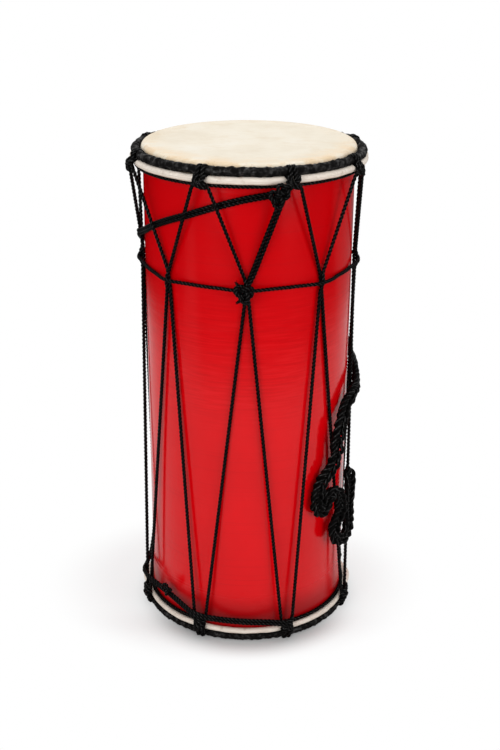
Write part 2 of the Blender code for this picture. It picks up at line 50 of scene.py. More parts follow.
# Sizes of the drum
HEIGHT = 0.509
SHELL_RADIUS = 0.105
SHELL_WALL = 0.008
EDGE_RADIUS = 0.004
EDGE_BEVEL = 0.003
SKIN = 0.0012
CLEARANCE = 0.0003
HOOP_ROD_RADIUS = 0.0019
HOOP_OUTSET = {TOP: 0.0023, BOTTOM: -0.0008}    # how far outside its crown ring a hoop lies
TUCK_RADIUS = 0.0032        # bend of the skin where it turns out to its hoop
TUCK_SHARE = 0.9            # largest share of the room between shell and hoop that the bend takes
RING_ROD_RADIUS = 0.0022
RING_WRAP = 0.0015
ROPE_RADIUS = 0.002
CHAIN_RADIUS = 0.0055
GIRDLE_DEPTH = 0.119        # distance of the girdle below the upper playing face
GATHER_RISE = 0.009         # distance from the girdle at which two legs are drawn together

# How ropes are laid
ROPE_STEP = 0.010           # distance between the samples of a rope's track
CURVE_SAMPLES = 24          # samples from one point of a route to the next
DENSE_STEP = 0.001
GIRDLE_POINTS = 64
BINDING_POINTS = 96
KNOT_POINTS = 72
LAY_SLOPE = 0.45            # steepest climb of a rope over those beneath it
CHAIN_SLOPE = 0.2
LAY_CHECKS = 5
NUDGE = 0.0001              # step by which a rope is lifted until it is clear
LOOK_ROUND = 12             # reach of the search for ropes near a point, in rope spacings
LEAST_TURN = 1e-4           # least and widest turn, in radians, that a taut rope is drawn straight over
WIDEST_TURN = 2.0
TAUT_SINKS = 0.6            # share of its height over the shell that a taut rope keeps over others

# Hitches round the crown rings
HITCH_DROP = 0.0005         # how much nearer the axis a leg starts than its strand on the hoop
HITCH_HOOP_TURN = 12.0
HITCH_CLEARANCE = 0.0004
# Where a strand comes onto the hoop: sideways in strands, deeper in radii of the roll
HITCH_ON_HOOP = (1.25, 0.8)
# Turn of a strand round the ring: angle up from outwards, sideways share, share of its thickness
HITCH_TURNS = ((-20, 1.0, 1.0), (20, 1.0, 0.9), (58, 1.0, 0.62), (92, 1.0, 0.42), (126, 1.0, 0.36))
HITCH_NIPPED = ((160, 1.05, 0.3), (194, 1.25, 0.3), (228, 1.6, 0.3), (262, 2.0, 0.3), (292, 2.4, 0.3))
NIP_EXIT_SHARE = 0.36
# Bight across a hitch: sideways, inwards and downwards shares, share of its thickness
HITCH_BIGHT = ((1.0, 1.0, 0.0, 0.7), (0.74, 0.25, 0.62, 1.0), (0.0, 0.0, 1.0, 1.0))
HITCH_SWELL = 1.2           # thickness of the slack rope in a hitch beside a taut leg
HITCH_RISE = {TOP: 0.0, BOTTOM: 0.006}          # how far behind the hoop the legs come together
HITCH_LEAN = 0.0008         # how much the hitches differ from each other
HITCH_SEED = 1000
BIGHT_SAG = {TOP: 0.0066, BOTTOM: 0.0082}
BIGHT_STANDS = 0.0032       # how far the bight stands out in front of the strands
FAR_SINK = 0.0030           # how much lower the upper crown ring sits at the back than at the front
# Slack rope wound round a hitch: where it starts behind the hoop, its climb in a turn, number of turns
COLLAR = {TOP: (0.0012, 0.0026, 1.5), BOTTOM: (0.0000, 0.0036, 3.5)}
COLLAR_SIDE = 0.0058        # distance of its sides from the middle of the hitch
COLLAR_FRONT = 0.0033       # how far it stands in front of the strands
COLLAR_BACK = 0.0020
COLLAR_BACK_SHARE = 0.5     # share of its thickness behind the strands
COLLAR_TILT = 0.0012
COLLAR_SWELL = 1.12
COLLAR_SAMPLES = 14         # samples in a turn
COLLAR_UNEVEN = 0.0003
COLLAR_SEED = 3000

# Angles of the hitches, and of the gathers where the girdle draws two legs together
HITCHES = {TOP: (-70.5, -22.0, 19.5, 60.5, 110.5, 155.5, 200.5, 247.5),
           BOTTOM: (-71.0, -25.5, 22.0, 69.0, 113.5, 156.0, 202.5, 244.5)}
GATHERS = (-45.5, -0.7, 40.3, 87.0, 133.0, 178.0, 223.0, 268.5)
BINDING_LINES = {TOP: (0.0, 360.0), BOTTOM: (27.0, 329.0)}      # angles at which each line starts and ends

# Routes of the free ropes: angle round the drum and distance below the upper playing face
STRAP_ROUTE = ((13.5, 0.0280), (5, 0.0303), (-3, 0.0330), (-17.5, 0.0412), (-34, 0.053), (-48, 0.063),
               (-60, 0.0725), (-70, 0.081), (-92, 0.097), (-115, 0.122), (-137, 0.148), (-160, 0.170),
               (-182, 0.187), (-205, 0.201), (-227, 0.212), (-247, 0.220))
STRAP_UNDER_TO = -63.0      # the strap lies under the lacing from its start to this angle
CHAIN_ROUTE = ((111.4, 0.2206), (106, 0.2268), (101.5, 0.2345), (97, 0.2415), (90, 0.2465), (82, 0.2495),
               (74, 0.253), (67.5, 0.258), (62.5, 0.2635), (57.5, 0.2715), (53.4, 0.2815), (51.9, 0.2958),
               (51.8, 0.3108), (49.7, 0.322), (46, 0.3298), (42, 0.3359), (40.3, 0.3453), (40.1, 0.3568),
               (41.4, 0.3677), (44.3, 0.3735), (46.9, 0.3695), (47.3, 0.3590), (48.3, 0.3498),
               (51.6, 0.3484), (55, 0.3570), (57.1, 0.3705), (56, 0.3825), (53.3, 0.3889), (52.1, 0.3971),
               (52.6, 0.4061), (56, 0.4123), (61.1, 0.4132), (65.5, 0.4065), (69.4, 0.3968),
               (71.4, 0.3838), (72.8, 0.3706), (73.2, 0.3570), (73.0, 0.3442), (72.0, 0.3360))
GIRDLE_KNOT_ANGLE = -2.0
STRAP_KNOT_DEPTH = 0.029
# Spare end of the girdle: shares of the leg beside which it climbs, and its root beside and above the knot
GIRDLE_END = (0.10, 0.96)
GIRDLE_END_POINTS = 9
GIRDLE_END_ROOT = (2.2, 0.004)
# Route of the lower tie: angle round the drum and height above the lower binding line
TIE_ROUTE = ((20.5, -0.0030), (14, -0.0002), (8, 0.0008), (0, 0.0014), (-11, 0.0022), (-21, 0.0030),
             (-29, 0.0048), (-36, 0.0078), (-43, 0.0112), (-52, 0.0136), (-62, 0.0142), (-72, 0.0142),
             (-82, 0.015), (-90, 0.0185), (-96, 0.027), (-101, 0.039), (-106, 0.053))
TIE_LOWER = 0.0005          # how much lower the shown tie lies
TIE_CLIMB = 0.40            # its climb behind the hoop, as a share of how far it stands off the shell

# Derived sizes
SKIN_INSIDE = SHELL_RADIUS + CLEARANCE
SKIN_OUTSIDE = SKIN_INSIDE + SKIN
RIM_DEPTH = SKIN + CLEARANCE
ROLL_RADIUS = HOOP_ROD_RADIUS + CLEARANCE + SKIN
ROLL_MIDDLE = ROLL_RADIUS - SKIN / 2
NIP = 0.65 * ROPE_RADIUS
NIP_EXIT = 1.4 * NIP
RING_TUBE = RING_ROD_RADIUS + CLEARANCE + RING_WRAP
RING_RADIUS = SKIN_OUTSIDE + NIP + RING_TUBE
RING_DEPTH = RING_TUBE + HITCH_CLEARANCE + 0.8 * ROPE_RADIUS
RING_TO_HOOP = RING_TUBE + ROLL_RADIUS + NIP
HOOP_RADIUS = {end: RING_RADIUS + outset for end, outset in HOOP_OUTSET.items()}
HOOP_DEPTH = {end: RING_DEPTH + math.sqrt(RING_TO_HOOP ** 2 - (radius - RING_RADIUS) ** 2)
              for end, radius in HOOP_RADIUS.items()}
WEB_DEPTH = {end: depth + ROLL_MIDDLE for end, depth in HOOP_DEPTH.items()}
LINE_DEPTH = {end: depth + SKIN / 2 + CLEARANCE + ROPE_RADIUS for end, depth in WEB_DEPTH.items()}
ROLL_LIFT = 0.0006          # how much nearer the face the upper roll and its line show than their solids
ROLL_FULLER = 0.0002        # how much thicker the upper roll shows
# Rims as they show: distance from the axis, depth behind the playing face and radius of the section
RING_SHOWN = {TOP: (RING_RADIUS, RING_DEPTH, RING_TUBE), BOTTOM: (0.1099, 0.0036, 0.0030)}
ROLL_SHOWN = {TOP: (HOOP_RADIUS[TOP], HOOP_DEPTH[TOP] - ROLL_LIFT, ROLL_RADIUS + ROLL_FULLER),
              BOTTOM: (0.1095, 0.0105, 0.0028)}
LINE_SHOWN = {TOP: LINE_DEPTH[TOP] - ROLL_LIFT, BOTTOM: 0.0153}
HOOP_ROD_SHOWN = {TOP: HOOP_ROD_RADIUS, BOTTOM: 0.0013}
RING_ROD_SHOWN = {TOP: RING_ROD_RADIUS, BOTTOM: 0.0018}
FACET_SAG = SHELL_RADIUS * (1 - math.cos(ROPE_STEP / 2 / SHELL_RADIUS))
LEG_RADIUS = SHELL_RADIUS + CLEARANCE + ROPE_RADIUS + FACET_SAG
ROPE_SPACING = 1.3 * ROPE_RADIUS + CLEARANCE      # crossing ropes bite into each other
DOUBLE_SPACING = 1.7 * ROPE_RADIUS
TIE_STEP = 0.5 * ROPE_STEP          # distances between the samples of the tie's and the chain's tracks
CHAIN_TRACK_STEP = 1.4 * CHAIN_RADIUS
GIRDLE_HEIGHT = HEIGHT - GIRDLE_DEPTH
GATHER_SPREAD = 0.75 * ROPE_RADIUS
HITCH_SPREAD = {TOP: 4 * ROPE_RADIUS, BOTTOM: 3.1 * ROPE_RADIUS}
HITCH_STRAND = 1.2 * ROPE_RADIUS
BIGHT_SPREAD = {TOP: 2.5 * ROPE_RADIUS, BOTTOM: 2.9 * ROPE_RADIUS}
KNOT_ROPE_RADIUS = 0.725 * ROPE_RADIUS
KNOT_SCALE = 1.97 * KNOT_ROPE_RADIUS

# Fineness of what is shown
TURNED_STEPS = 256
ROD_STEPS = 128
ROD_SIDES = 12
RIM_STEPS = 9
SHOULDER_STEPS = 12
TUCK_STEPS = 7
ROLL_STEPS = 22
ROPE_RING = 0.00125         # distance between the rings of a rope
ROPE_EASE = 0.0012          # length over which a rope's corners are eased
EASE_SAMPLES = 3            # samples in that length
ROPE_SIDES = 12
ROPE_LAY = 0.0125           # length in which the three strands of a rope turn once
GROOVE = 0.30               # depth of the grooves between the strands, as a share of the radius
GROOVE_POWER = 0.7          # under 1 the grooves are wider than the crests
CREST = 0.03                # how far the crests stand past the radius, as a share of it
ROPE_TIP = ((0.35, 0.82), (0.55, 0.45))         # rounded end: how far out in radii, share of the thickness


# Routes

def place(angle, radius, height):
    """Point at an angle round the drum, a distance from its axis and a height."""
    turn = math.radians(angle)
    return Vector((radius * math.sin(turn), -radius * math.cos(turn), height))


def end_height(end, depth):
    """Height of a point that lies at a depth behind the playing face of one end."""
    return HEIGHT - depth if end == TOP else depth


def arc(center, radius, start, stop, count):
    """Points on an arc in the (radius, depth) plane: 0 degrees points outwards, 90 points deeper."""
    points = []
    for index in range(count):
        turn = math.radians(start + (stop - start) * index / (count - 1))
        points.append((center[0] + radius * math.cos(turn), center[1] + radius * math.sin(turn)))
    return points


def at_end(end, outline):
    """Outline in radius and height, from one in radius and depth behind a playing face."""
    return [(radius, end_height(end, depth)) for radius, depth in outline]


def dense(points, closed=False):
    """Even samples along straight runs between points, as an array."""
    loop = list(points) + ([points[0]] if closed else [])
    samples = []
    for start, stop in zip(loop, loop[1:]):
        count = max(1, int((stop - start).length / DENSE_STEP))
        samples += [start.lerp(stop, index / count) for index in range(count)]
    samples.append(loop[-1])
    return np.array(samples)


def through(points, samples=CURVE_SAMPLES):
    """Samples on a smooth curve through points, as an array."""
    knots = np.asarray(points, dtype=float)
    knots = np.vstack([2 * knots[0] - knots[1], knots, 2 * knots[-1] - knots[-2]])
    share = (np.arange(samples) / samples)[:, None]
    fine = []
    for before, start, stop, after in zip(knots, knots[1:], knots[2:], knots[3:]):
        fine.append(0.5 * (2 * start + (stop - before) * share
                           + (2 * before - 5 * start + 4 * stop - after) * share ** 2
                           + (3 * start - before - 3 * stop + after) * share ** 3))
    return np.vstack(fine + [knots[-2]])


def smooth(route, step):
    """Even (angle, height) samples on a smooth curve through a route's points."""
    fine = through([(math.radians(angle) * SHELL_RADIUS, height) for angle, height in route])
    lengths = np.concatenate([[0], np.cumsum(np.linalg.norm(np.diff(fine, axis=0), axis=1))])
    count = max(2, round(lengths[-1] / step) + 1)
    stops = np.linspace(0, lengths[-1], count)
    angles = np.degrees(np.interp(stops, lengths, fine[:, 0]) / SHELL_RADIUS)
    return list(zip(angles, np.interp(stops, lengths, fine[:, 1])))


def at_height(route):
    """Route in heights, from one in distances below the upper playing face."""
    return [(angle, end_height(TOP, depth)) for angle, depth in route]


def lowest_clear(angle, height, floor, room, beneath):
    """Least distance from the axis, not under floor, at which a point clears the ropes beneath it."""
    around = np.linalg.norm(beneath - np.array(place(angle, floor, height)), axis=1)
    near = beneath[around < LOOK_ROUND * room]
    radius = floor
    while len(near) and np.linalg.norm(near - np.array(place(angle, radius, height)), axis=1).min() < room:
        radius += NUDGE
    return radius


def over_all(angle, height, floor, room, beneath):
    """Least distance from the axis, not under floor, at which nothing is left outside a point."""
    outward = np.array(place(angle, 1.0, 0.0))
    apart = beneath - np.array([0.0, 0.0, height])
    reach = apart @ outward
    beside = (apart * apart).sum(axis=1) - reach ** 2
    near = (beside < room ** 2) & (reach > 0)
    return max(floor, (reach[near] + np.sqrt(room ** 2 - beside[near])).max(initial=floor))


def offset_track(track, offset):
    """Samples moved sideways from an (angle, height) track."""
    moved = []
    for index, (angle, height) in enumerate(track):
        before = track[max(index - 1, 0)]
        after = track[min(index + 1, len(track) - 1)]
        around = math.radians(after[0] - before[0]) * SHELL_RADIUS
        along = Vector((around, after[1] - before[1])).normalized()
        moved.append((angle - math.degrees(along.y * offset / SHELL_RADIUS), height + along.x * offset))
    return moved


def drawn_straight(track, least):
    """Distances from the axis of a rope along a track, taut between the places where it is held out."""
    turn = np.radians([angle for angle, height in track])
    reach = least.copy()
    for here in range(1, len(track) - 1):
        for before in range(here):
            for after in range(here + 1, len(track)):
                first, last = abs(turn[before] - turn[here]), abs(turn[after] - turn[here])
                if min(first, last) < LEAST_TURN or first + last > WIDEST_TURN:
                    continue
                chord = least[before] * least[after] * math.sin(first + last)
                chord /= least[before] * math.sin(first) + least[after] * math.sin(last)
                reach[here] = max(reach[here], chord)
    return reach


def resting(radius):
    """Distance from the axis of a rope that lies on the shell, and its distance from a rope beneath it."""
    return SHELL_RADIUS + CLEARANCE + radius + FACET_SAG, radius + ROPE_RADIUS + CLEARANCE


def lay_over(track, radius, beneath):
    """Lay a taut rope over everything along (angle, height) samples."""
    floor, room = resting(radius)
    least = np.array([over_all(*spot, floor, room, beneath) for spot in track])
    reaches = drawn_straight(track, least)
    return [place(angle, reach, height) for (angle, height), reach in zip(track, reaches)]


def lay(track, radius, beneath, slope=LAY_SLOPE, buried=lambda angle: False):
    """Lay a rope on the shell along (angle, height) samples, climbing over the ropes beneath it."""
    floor, room = resting(radius)
    least = np.full(len(track), floor)
    for index, (start, stop) in enumerate(zip(track, track[1:])):
        for share in np.linspace(0, 1, LAY_CHECKS + 1):
            spot = np.array(start) * (1 - share) + np.array(stop) * share
            if buried(spot[0]):
                continue
            clear = lowest_clear(*spot, floor, room, beneath)
            least[index:index + 2] = np.maximum(least[index:index + 2], clear)
    flat = [place(angle, floor, height) for angle, height in track]
    run = np.concatenate([[0], np.cumsum([(b - a).length for a, b in zip(flat, flat[1:])])])
    taut = (least[None, :] - slope * np.abs(run[:, None] - run[None, :])).max(axis=1)
    reaches = [floor if buried(angle) else reach for (angle, height), reach in zip(track, taut)]
    return [place(angle, reach, height) for (angle, height), reach in zip(track, reaches)]


def drawn_in(spot):
    """Point of a taut rope that is pulled into the softer ropes beneath it."""
    reach = math.hypot(spot.x, spot.y)
    share = (LEG_RADIUS + TAUT_SINKS * (reach - LEG_RADIUS)) / reach
    return Vector((spot.x * share, spot.y * share, spot.z))


def climbed(spot):
    """Point of the tie, which rides up behind the hoop where it stands off the shell."""
    return Vector((spot.x, spot.y, spot.z + TIE_CLIMB * (math.hypot(spot.x, spot.y) - LEG_RADIUS)))


def doubled(track):
    """Track of a rope that runs out along one side of a track, turns and comes back along the other."""
    out = offset_track(track, DOUBLE_SPACING / 2)
    back = offset_track(track, -DOUBLE_SPACING / 2)
    stretch = math.degrees(1 / SHELL_RADIUS)
    last = Vector((track[-1][0] / stretch, track[-1][1]))
    ahead = (last - Vector((track[-2][0] / stretch, track[-2][1]))).normalized() * DOUBLE_SPACING / 2
    tip = (track[-1][0] + ahead.x * stretch, track[-1][1] + ahead.y)
    return out + [tip] + back[::-1]


def binding_line(end):
    """Points of the line under the hoop of one end."""
    reach = ROLL_SHOWN[end][0] - ROPE_RADIUS
    level = end_height(end, LINE_SHOWN[end])
    return [place(angle, reach, level) for angle in np.linspace(*BINDING_LINES[end], BINDING_POINTS + 1)]


def hitch_half(end, sag, spread):
    """One strand of a cow hitch, from its leg to the bight.

    Each point is sideways, radius, depth, share of its thickness and the angle, up from outwards, at which
    the strand is pressed flat.
    """
    ring, ring_depth, tube = RING_SHOWN[end]
    hoop, hoop_depth, roll = ROLL_SHOWN[end]
    off_hoop = roll + HITCH_CLEARANCE + ROPE_RADIUS
    off_ring = tube + HITCH_CLEARANCE
    beside, deeper = HITCH_ON_HOOP
    turn = math.radians(HITCH_HOOP_TURN)
    leg_depth = hoop_depth + off_hoop + HITCH_RISE[end]
    points = [(HITCH_SPREAD[end], hoop + off_hoop - HITCH_DROP, leg_depth, 1.0, 0.0),
              (beside * HITCH_STRAND, hoop + off_hoop, hoop_depth + deeper * roll, 1.0, 0.0),
              (HITCH_STRAND, hoop + off_hoop * math.cos(turn), hoop_depth - off_hoop * math.sin(turn),
               1.0, 0.0)]
    turns = [(*spot, off_ring + ROPE_RADIUS * spot[2]) for spot in HITCH_TURNS]
    turns += [(*spot, tube + NIP / 2) for spot in HITCH_NIPPED]
    for degrees, sideways, share, reach in turns:
        turn = math.radians(degrees)
        points.append((sideways * HITCH_STRAND, ring + reach * math.cos(turn),
                       ring_depth - reach * math.sin(turn), share, degrees))
    level = (ring_depth + hoop_depth) / 2
    points.append((spread, (ring + hoop) / 2 + NIP_EXIT, level, NIP_EXIT_SHARE, 90.0))
    front = max(hoop + off_hoop, ring + off_ring + ROPE_RADIUS) + BIGHT_STANDS
    for sideways, inwards, down, share in HITCH_BIGHT:
        points.append((sideways * spread, front - inwards * BIGHT_STANDS, level + down * sag, share, 0.0))
    return points


def sink(angle):
    """How much lower the upper crown ring sits at an angle round the drum than at the front."""
    return FAR_SINK * (0.5 - 0.5 * np.cos(np.radians(angle)))


def hitch_height(end, angle, depth):
    """Height of a point of the hitch at an angle, which sits as low as its crown ring."""
    return end_height(end, depth + (sink(angle) if end == TOP else 0.0))


def hitch_draw(seed, end, angle):
    """Random draws that belong to the hitch at an angle."""
    return np.random.default_rng(round(seed + 10 * angle) + (0 if end == TOP else 5))


def hitch(end, angle):
    """Cow hitch round the crown ring of one end, from the left leg to the right one.

    Each row is a place, a share of thickness, a swell and the direction in which the rope is pressed flat.
    """
    lean, drop, spread = hitch_draw(HITCH_SEED, end, angle).uniform(-1, 1, 3) * HITCH_LEAN
    half = hitch_half(end, BIGHT_SAG[end] + 2 * drop, BIGHT_SPREAD[end] + spread)
    left = [(-sideways, *rest) for sideways, *rest in half]
    upward = 1 if end == TOP else -1
    rows = []
    for index, (sideways, radius, depth, share, press) in enumerate(left + half[-2::-1]):
        tied = index not in (0, 2 * len(half) - 2)
        around = angle + math.degrees((sideways + lean * tied) / radius)
        turn = math.radians(press)
        spot = place(around, radius, hitch_height(end, angle, depth))
        rows.append((*spot, share, HITCH_SWELL if tied else 1.0,
                     *place(around, math.cos(turn), upward * math.sin(turn))))
    return rows


def collar(end, angle):
    """Slack rope wound round the strands of a hitch, in rows like those of the hitch."""
    draw = hitch_draw(COLLAR_SEED, end, angle)
    hoop, hoop_depth, roll = ROLL_SHOWN[end]
    first, climb, turns = COLLAR[end]
    strand = hoop + roll + HITCH_CLEARANCE + ROPE_RADIUS
    rows = []
    for turn in np.linspace(-0.5 * math.pi, (2 * turns - 0.5) * math.pi, round(COLLAR_SAMPLES * turns)):
        out = math.cos(turn)
        side = COLLAR_SIDE * math.sin(turn) + draw.normal(0, COLLAR_UNEVEN)
        radius = strand + (COLLAR_FRONT if out > 0 else COLLAR_BACK) * out
        depth = hoop_depth + first + climb * (turn / (2 * math.pi) + 0.25)
        depth = depth + COLLAR_TILT * math.sin(turn) + draw.normal(0, COLLAR_UNEVEN)
        around = angle + math.degrees(side / radius)
        spot = place(around, radius, hitch_height(end, angle, depth))
        rows.append((*spot, 1.0 if out > 0 else COLLAR_BACK_SHARE, COLLAR_SWELL, *place(around, 1.0, 0.0)))
    return rows


def ride_over(start, stop, beneath):
    """Points that lift a taut leg off the ropes that it crosses."""
    count = max(8, int((stop - start).length / ROPE_RADIUS))
    points = [start.lerp(stop, share) for share in np.linspace(0, 1, count + 1)[1:-1]]
    gaps = [np.linalg.norm(beneath - np.array(point), axis=1).min() for point in points]
    worst = int(np.argmin(gaps))
    if gaps[worst] >= ROPE_SPACING:
        return []
    lifted = points[worst]
    outward = Vector((lifted.x, lifted.y, 0)).normalized()
    while np.linalg.norm(beneath - np.array(lifted), axis=1).min() < ROPE_SPACING + CLEARANCE:
        lifted = lifted + outward * NUDGE
    return ride_over(start, lifted, beneath) + [lifted] + ride_over(lifted, stop, beneath)


def gather_bend(index, side, beneath):
    """Point where a leg is drawn in beside the one that it crosses; side is across and up, each -1 or 1."""
    angle = GATHERS[index] + side[0] * math.degrees(GATHER_SPREAD / LEG_RADIUS)
    height = GIRDLE_HEIGHT + side[1] * GATHER_RISE
    return place(angle, lowest_clear(angle, height, LEG_RADIUS, ROPE_SPACING + CLEARANCE, beneath), height)


def lacing(first, beneath):
    """Closed path of one round of the lacing, zigzagging between every other hitch of the two ends.

    Its rows are like those of a hitch.
    """
    count = len(GATHERS)
    ends = [TOP if step % 2 == 0 else BOTTOM for step in range(count)]
    hitches = [hitch(end, HITCHES[end][(first + step) % count]) for step, end in enumerate(ends)]
    rows = []
    for step, end in enumerate(ends):
        gather = (first + step) % count
        upright = 1 if end == TOP else -1
        near = gather_bend(gather, (-1, upright), beneath)
        far = gather_bend(gather, (1, -upright), beneath)
        stops = [Vector(hitches[step][-1][:3]), near, far, Vector(hitches[(step + 1) % count][0][:3])]
        leg = []
        for start, stop in zip(stops, stops[1:]):
            leg += ride_over(start, stop, beneath) + [stop]
        rows += hitches[step] + [(*spot, 1.0, 1.0, 0.0, 0.0, 0.0) for spot in leg[:-1]]
    return rows


def girdle_end_points(beneath):
    """Spare end of the girdle, which climbs from its knot beside the right-hand leg of the front gather."""
    top = Vector(hitch(TOP, HITCHES[TOP][2])[0][:3])
    bend = gather_bend(1, (1, 1), beneath)
    beside = Quaternion((0, 0, 1), DOUBLE_SPACING / LEG_RADIUS)
    points = [beside @ top.lerp(bend, share) for share in np.linspace(*GIRDLE_END, GIRDLE_END_POINTS)]
    turn, rise = GIRDLE_END_ROOT
    return points + [place(GIRDLE_KNOT_ANGLE + turn, LEG_RADIUS + ROPE_RADIUS, GIRDLE_HEIGHT + rise)]


def knot_points(spot, beneath, share):
    """Overhand knot drawn tight, seated on the ropes beneath it at an (angle, height) spot."""
    angle, height = spot
    scale = share * KNOT_SCALE
    radius = share * KNOT_ROPE_RADIUS
    outward = place(angle, 1.0, 0.0)
    along = place(angle + 90, 1.0, 0.0)
    upward = Vector((0, 0, 1))
    form = []
    for index in range(KNOT_POINTS):
        turn = 2 * math.pi * index / KNOT_POINTS
        form.append(scale * (along * (math.sin(turn) + 2 * math.sin(2 * turn))
                             + upward * (math.cos(turn) - 2 * math.cos(2 * turn))
                             - outward * math.sin(3 * turn)))
    room = radius + ROPE_RADIUS + CLEARANCE
    outline = dense(form, closed=True)
    reach = SHELL_RADIUS + scale + radius + CLEARANCE
    around = np.linalg.norm(beneath - np.array(place(angle, reach, height)), axis=1)
    near = beneath[around < LOOK_ROUND * room]
    while True:
        moved = outline + np.array(place(angle, reach, height))
        if np.linalg.norm(near[:, None, :] - moved[None, :, :], axis=2).min() >= room:
            break
        reach += NUDGE
    return [place(angle, reach, height) + point for point in form]


# Finishes

class Amount:
    """Socket of a finish's node tree, for shader sums written as Python."""

    def __init__(self, finish, socket):
        self.finish = finish
        self.socket = socket

    def sum(self, operation, first, second=None):
        sockets = {0: first} if second is None else {0: first, 1: second}
        return self.finish.node("ShaderNodeMath", {"operation": operation}, sockets)

    def __add__(self, other):
        return self.sum("ADD", self, other)

    def __radd__(self, other):
        return self.sum("ADD", other, self)

    def __sub__(self, other):
        return self.sum("SUBTRACT", self, other)

    def __rsub__(self, other):
        return self.sum("SUBTRACT", other, self)

    def __mul__(self, other):
        return self.sum("MULTIPLY", self, other)

    def __rmul__(self, other):
        return self.sum("MULTIPLY", other, self)

    def __pow__(self, other):
        return self.sum("POWER", self, other)

    def clamped(self):
        return self.finish.node("ShaderNodeClamp", {}, {0: self})


class Finish:
    """Material, or the world, whose look is made by nodes."""

    def __init__(self, name, owner=None):
        self.owner = owner or bpy.data.materials.new(name)
        self.owner.use_nodes = True
        self.tree = self.owner.node_tree
        self.shader = self.tree.nodes.get("Principled BSDF")

    def node(self, kind, settings, sockets, out=0):
        made = self.tree.nodes.new(kind)
        for setting, value in settings.items():
            if setting == "stops":
                while len(made.color_ramp.elements) < len(value):
                    made.color_ramp.elements.new(1.0)
                for element, (position, color) in zip(made.color_ramp.elements, value):
                    element.position = position
                    element.color = (*color, 1.0)
            else:
                setattr(made, setting, value)
        for key, value in sockets.items():
            self.give(made.inputs[key], value)
        return Amount(self, made.outputs[out])

    def give(self, socket, value):
        if isinstance(value, Amount):
            self.tree.links.new(value.socket, socket)
        elif hasattr(value, "__len__") and len(value) == 3 and socket.type == "RGBA":
            socket.default_value = (*value, 1.0)
        else:
            socket.default_value = value

    def spot(self):
        """Place on the piece, in metres."""
        return self.node("ShaderNodeTexCoord", {}, {}, "Object")

    def axes(self, where):
        """The x, y and z of a place."""
        split = self.node("ShaderNodeSeparateXYZ", {}, {0: where}).socket.node
        return [Amount(self, out) for out in split.outputs]

    def stretched(self, where, scale):
        return self.node("ShaderNodeVectorMath", {"operation": "MULTIPLY"}, {0: where, 1: scale})

    def grain(self, where, scale, detail=4.0, rough=0.55):
        return self.node("ShaderNodeTexNoise", {}, {"Vector": where, "Scale": scale, "Detail": detail,
                                                    "Roughness": rough})

    def ramp(self, amount, stops):
        return self.node("ShaderNodeValToRGB", {"stops": stops}, {0: amount})

    def between(self, amount, low, high):
        """Share of the way that an amount has come from low to high, from 0 to 1."""
        return self.node("ShaderNodeMapRange", {"clamp": True, "interpolation_type": "SMOOTHSTEP"},
                         {"Value": amount, "From Min": low, "From Max": high})

    def mixed(self, share, first, second):
        return self.node("ShaderNodeMix", {"data_type": "RGBA"}, {0: share, 6: first, 7: second}, 2)

    def bump(self, height, distance, strength):
        return self.node("ShaderNodeBump", {}, {"Height": height, "Distance": distance,
                                                "Strength": strength})

    def wear(self, **sockets):
        """Set the surface's own sockets, named with _ for a space."""
        for name, value in sockets.items():
            self.give(self.shader.inputs[name.replace("_", " ")], value)
        return self.owner


def srgb(red, green, blue):
    """Linear colour from the values that a screen shows, 0 to 255."""
    return tuple(part / 12.92 if part <= 0.04045 else ((part + 0.055) / 1.055) ** 2.4
                 for part in (red / 255, green / 255, blue / 255))


def span(x, y):
    """Length of a level distance, from its two parts."""
    return (x * x + y * y) ** 0.5


# Heights over which the lacquer changes, and distances in front of the axis over which its foot darkens as
# painted shade
SHADED_TOP = (0.24, 0.44)
SHADED_FOOT = (0.02, 0.056)
DULL_FOOT = (0.02, 0.085)
BRUSHED_SHEEN_FROM = (0.22, 0.29)
BRUSHED_SHEEN_TO = (0.33, 0.42)
FOOT_FRONT = (0.02, 0.085)


def red_lacquer():
    finish = Finish("red_lacquer")
    spot = finish.spot()
    _, y, z = finish.axes(spot)
    turning = finish.grain(finish.stretched(spot, (3, 3, 420)), 1.0, 5.0, 0.6)
    ripple = finish.grain(finish.stretched(spot, (14, 14, 150)), 1.0, 4.0, 0.6)
    cloud = finish.grain(spot, 14.0, 3.0)
    color = finish.ramp(cloud, ((0.3, srgb(207, 0, 8)), (0.7, srgb(217, 2, 12))))
    # painted shade: the lacquer darkens towards the top
    color = finish.mixed(finish.between(z, *SHADED_TOP), color, srgb(198, 0, 7))
    # painted shade: the lacquer darkens at its foot, most at the front
    front = finish.between(0.0 - y, *FOOT_FRONT)
    foot_shade = (0.8 - 0.8 * finish.between(z, *SHADED_FOOT)) * (0.15 + 0.85 * front)
    color = finish.mixed(foot_shade, color, srgb(140, 0, 5))
    hairline = finish.between(turning, 0.56, 0.72)
    color = finish.mixed(hairline * 0.16, color, srgb(150, 0, 6))
    # brushed streaks in a band: real marks, painted lighter and darker red as painted reflection
    brushed_sheen = finish.grain(finish.stretched(spot, (34, 34, 520)), 1.0, 3.0, 0.5)
    sheen_zone = finish.between(z, *BRUSHED_SHEEN_FROM) * (1.0 - finish.between(z, *BRUSHED_SHEEN_TO))
    color = finish.mixed(finish.between(brushed_sheen, 0.52, 0.64) * sheen_zone * 0.16, color, srgb(232, 40, 44))
    color = finish.mixed(finish.between(0.0 - brushed_sheen, -0.48, -0.38) * sheen_zone * 0.22, color, srgb(172, 0, 6))
    foot = 1.0 - finish.between(z, *DULL_FOOT)
    rough = 0.13 + 0.08 * hairline + 0.05 * cloud + 0.2 * foot
    return finish.wear(Base_Color=color, Roughness=rough, IOR=1.33,
                       Normal=finish.bump(turning * 0.5 + ripple, 0.0002, 0.55))


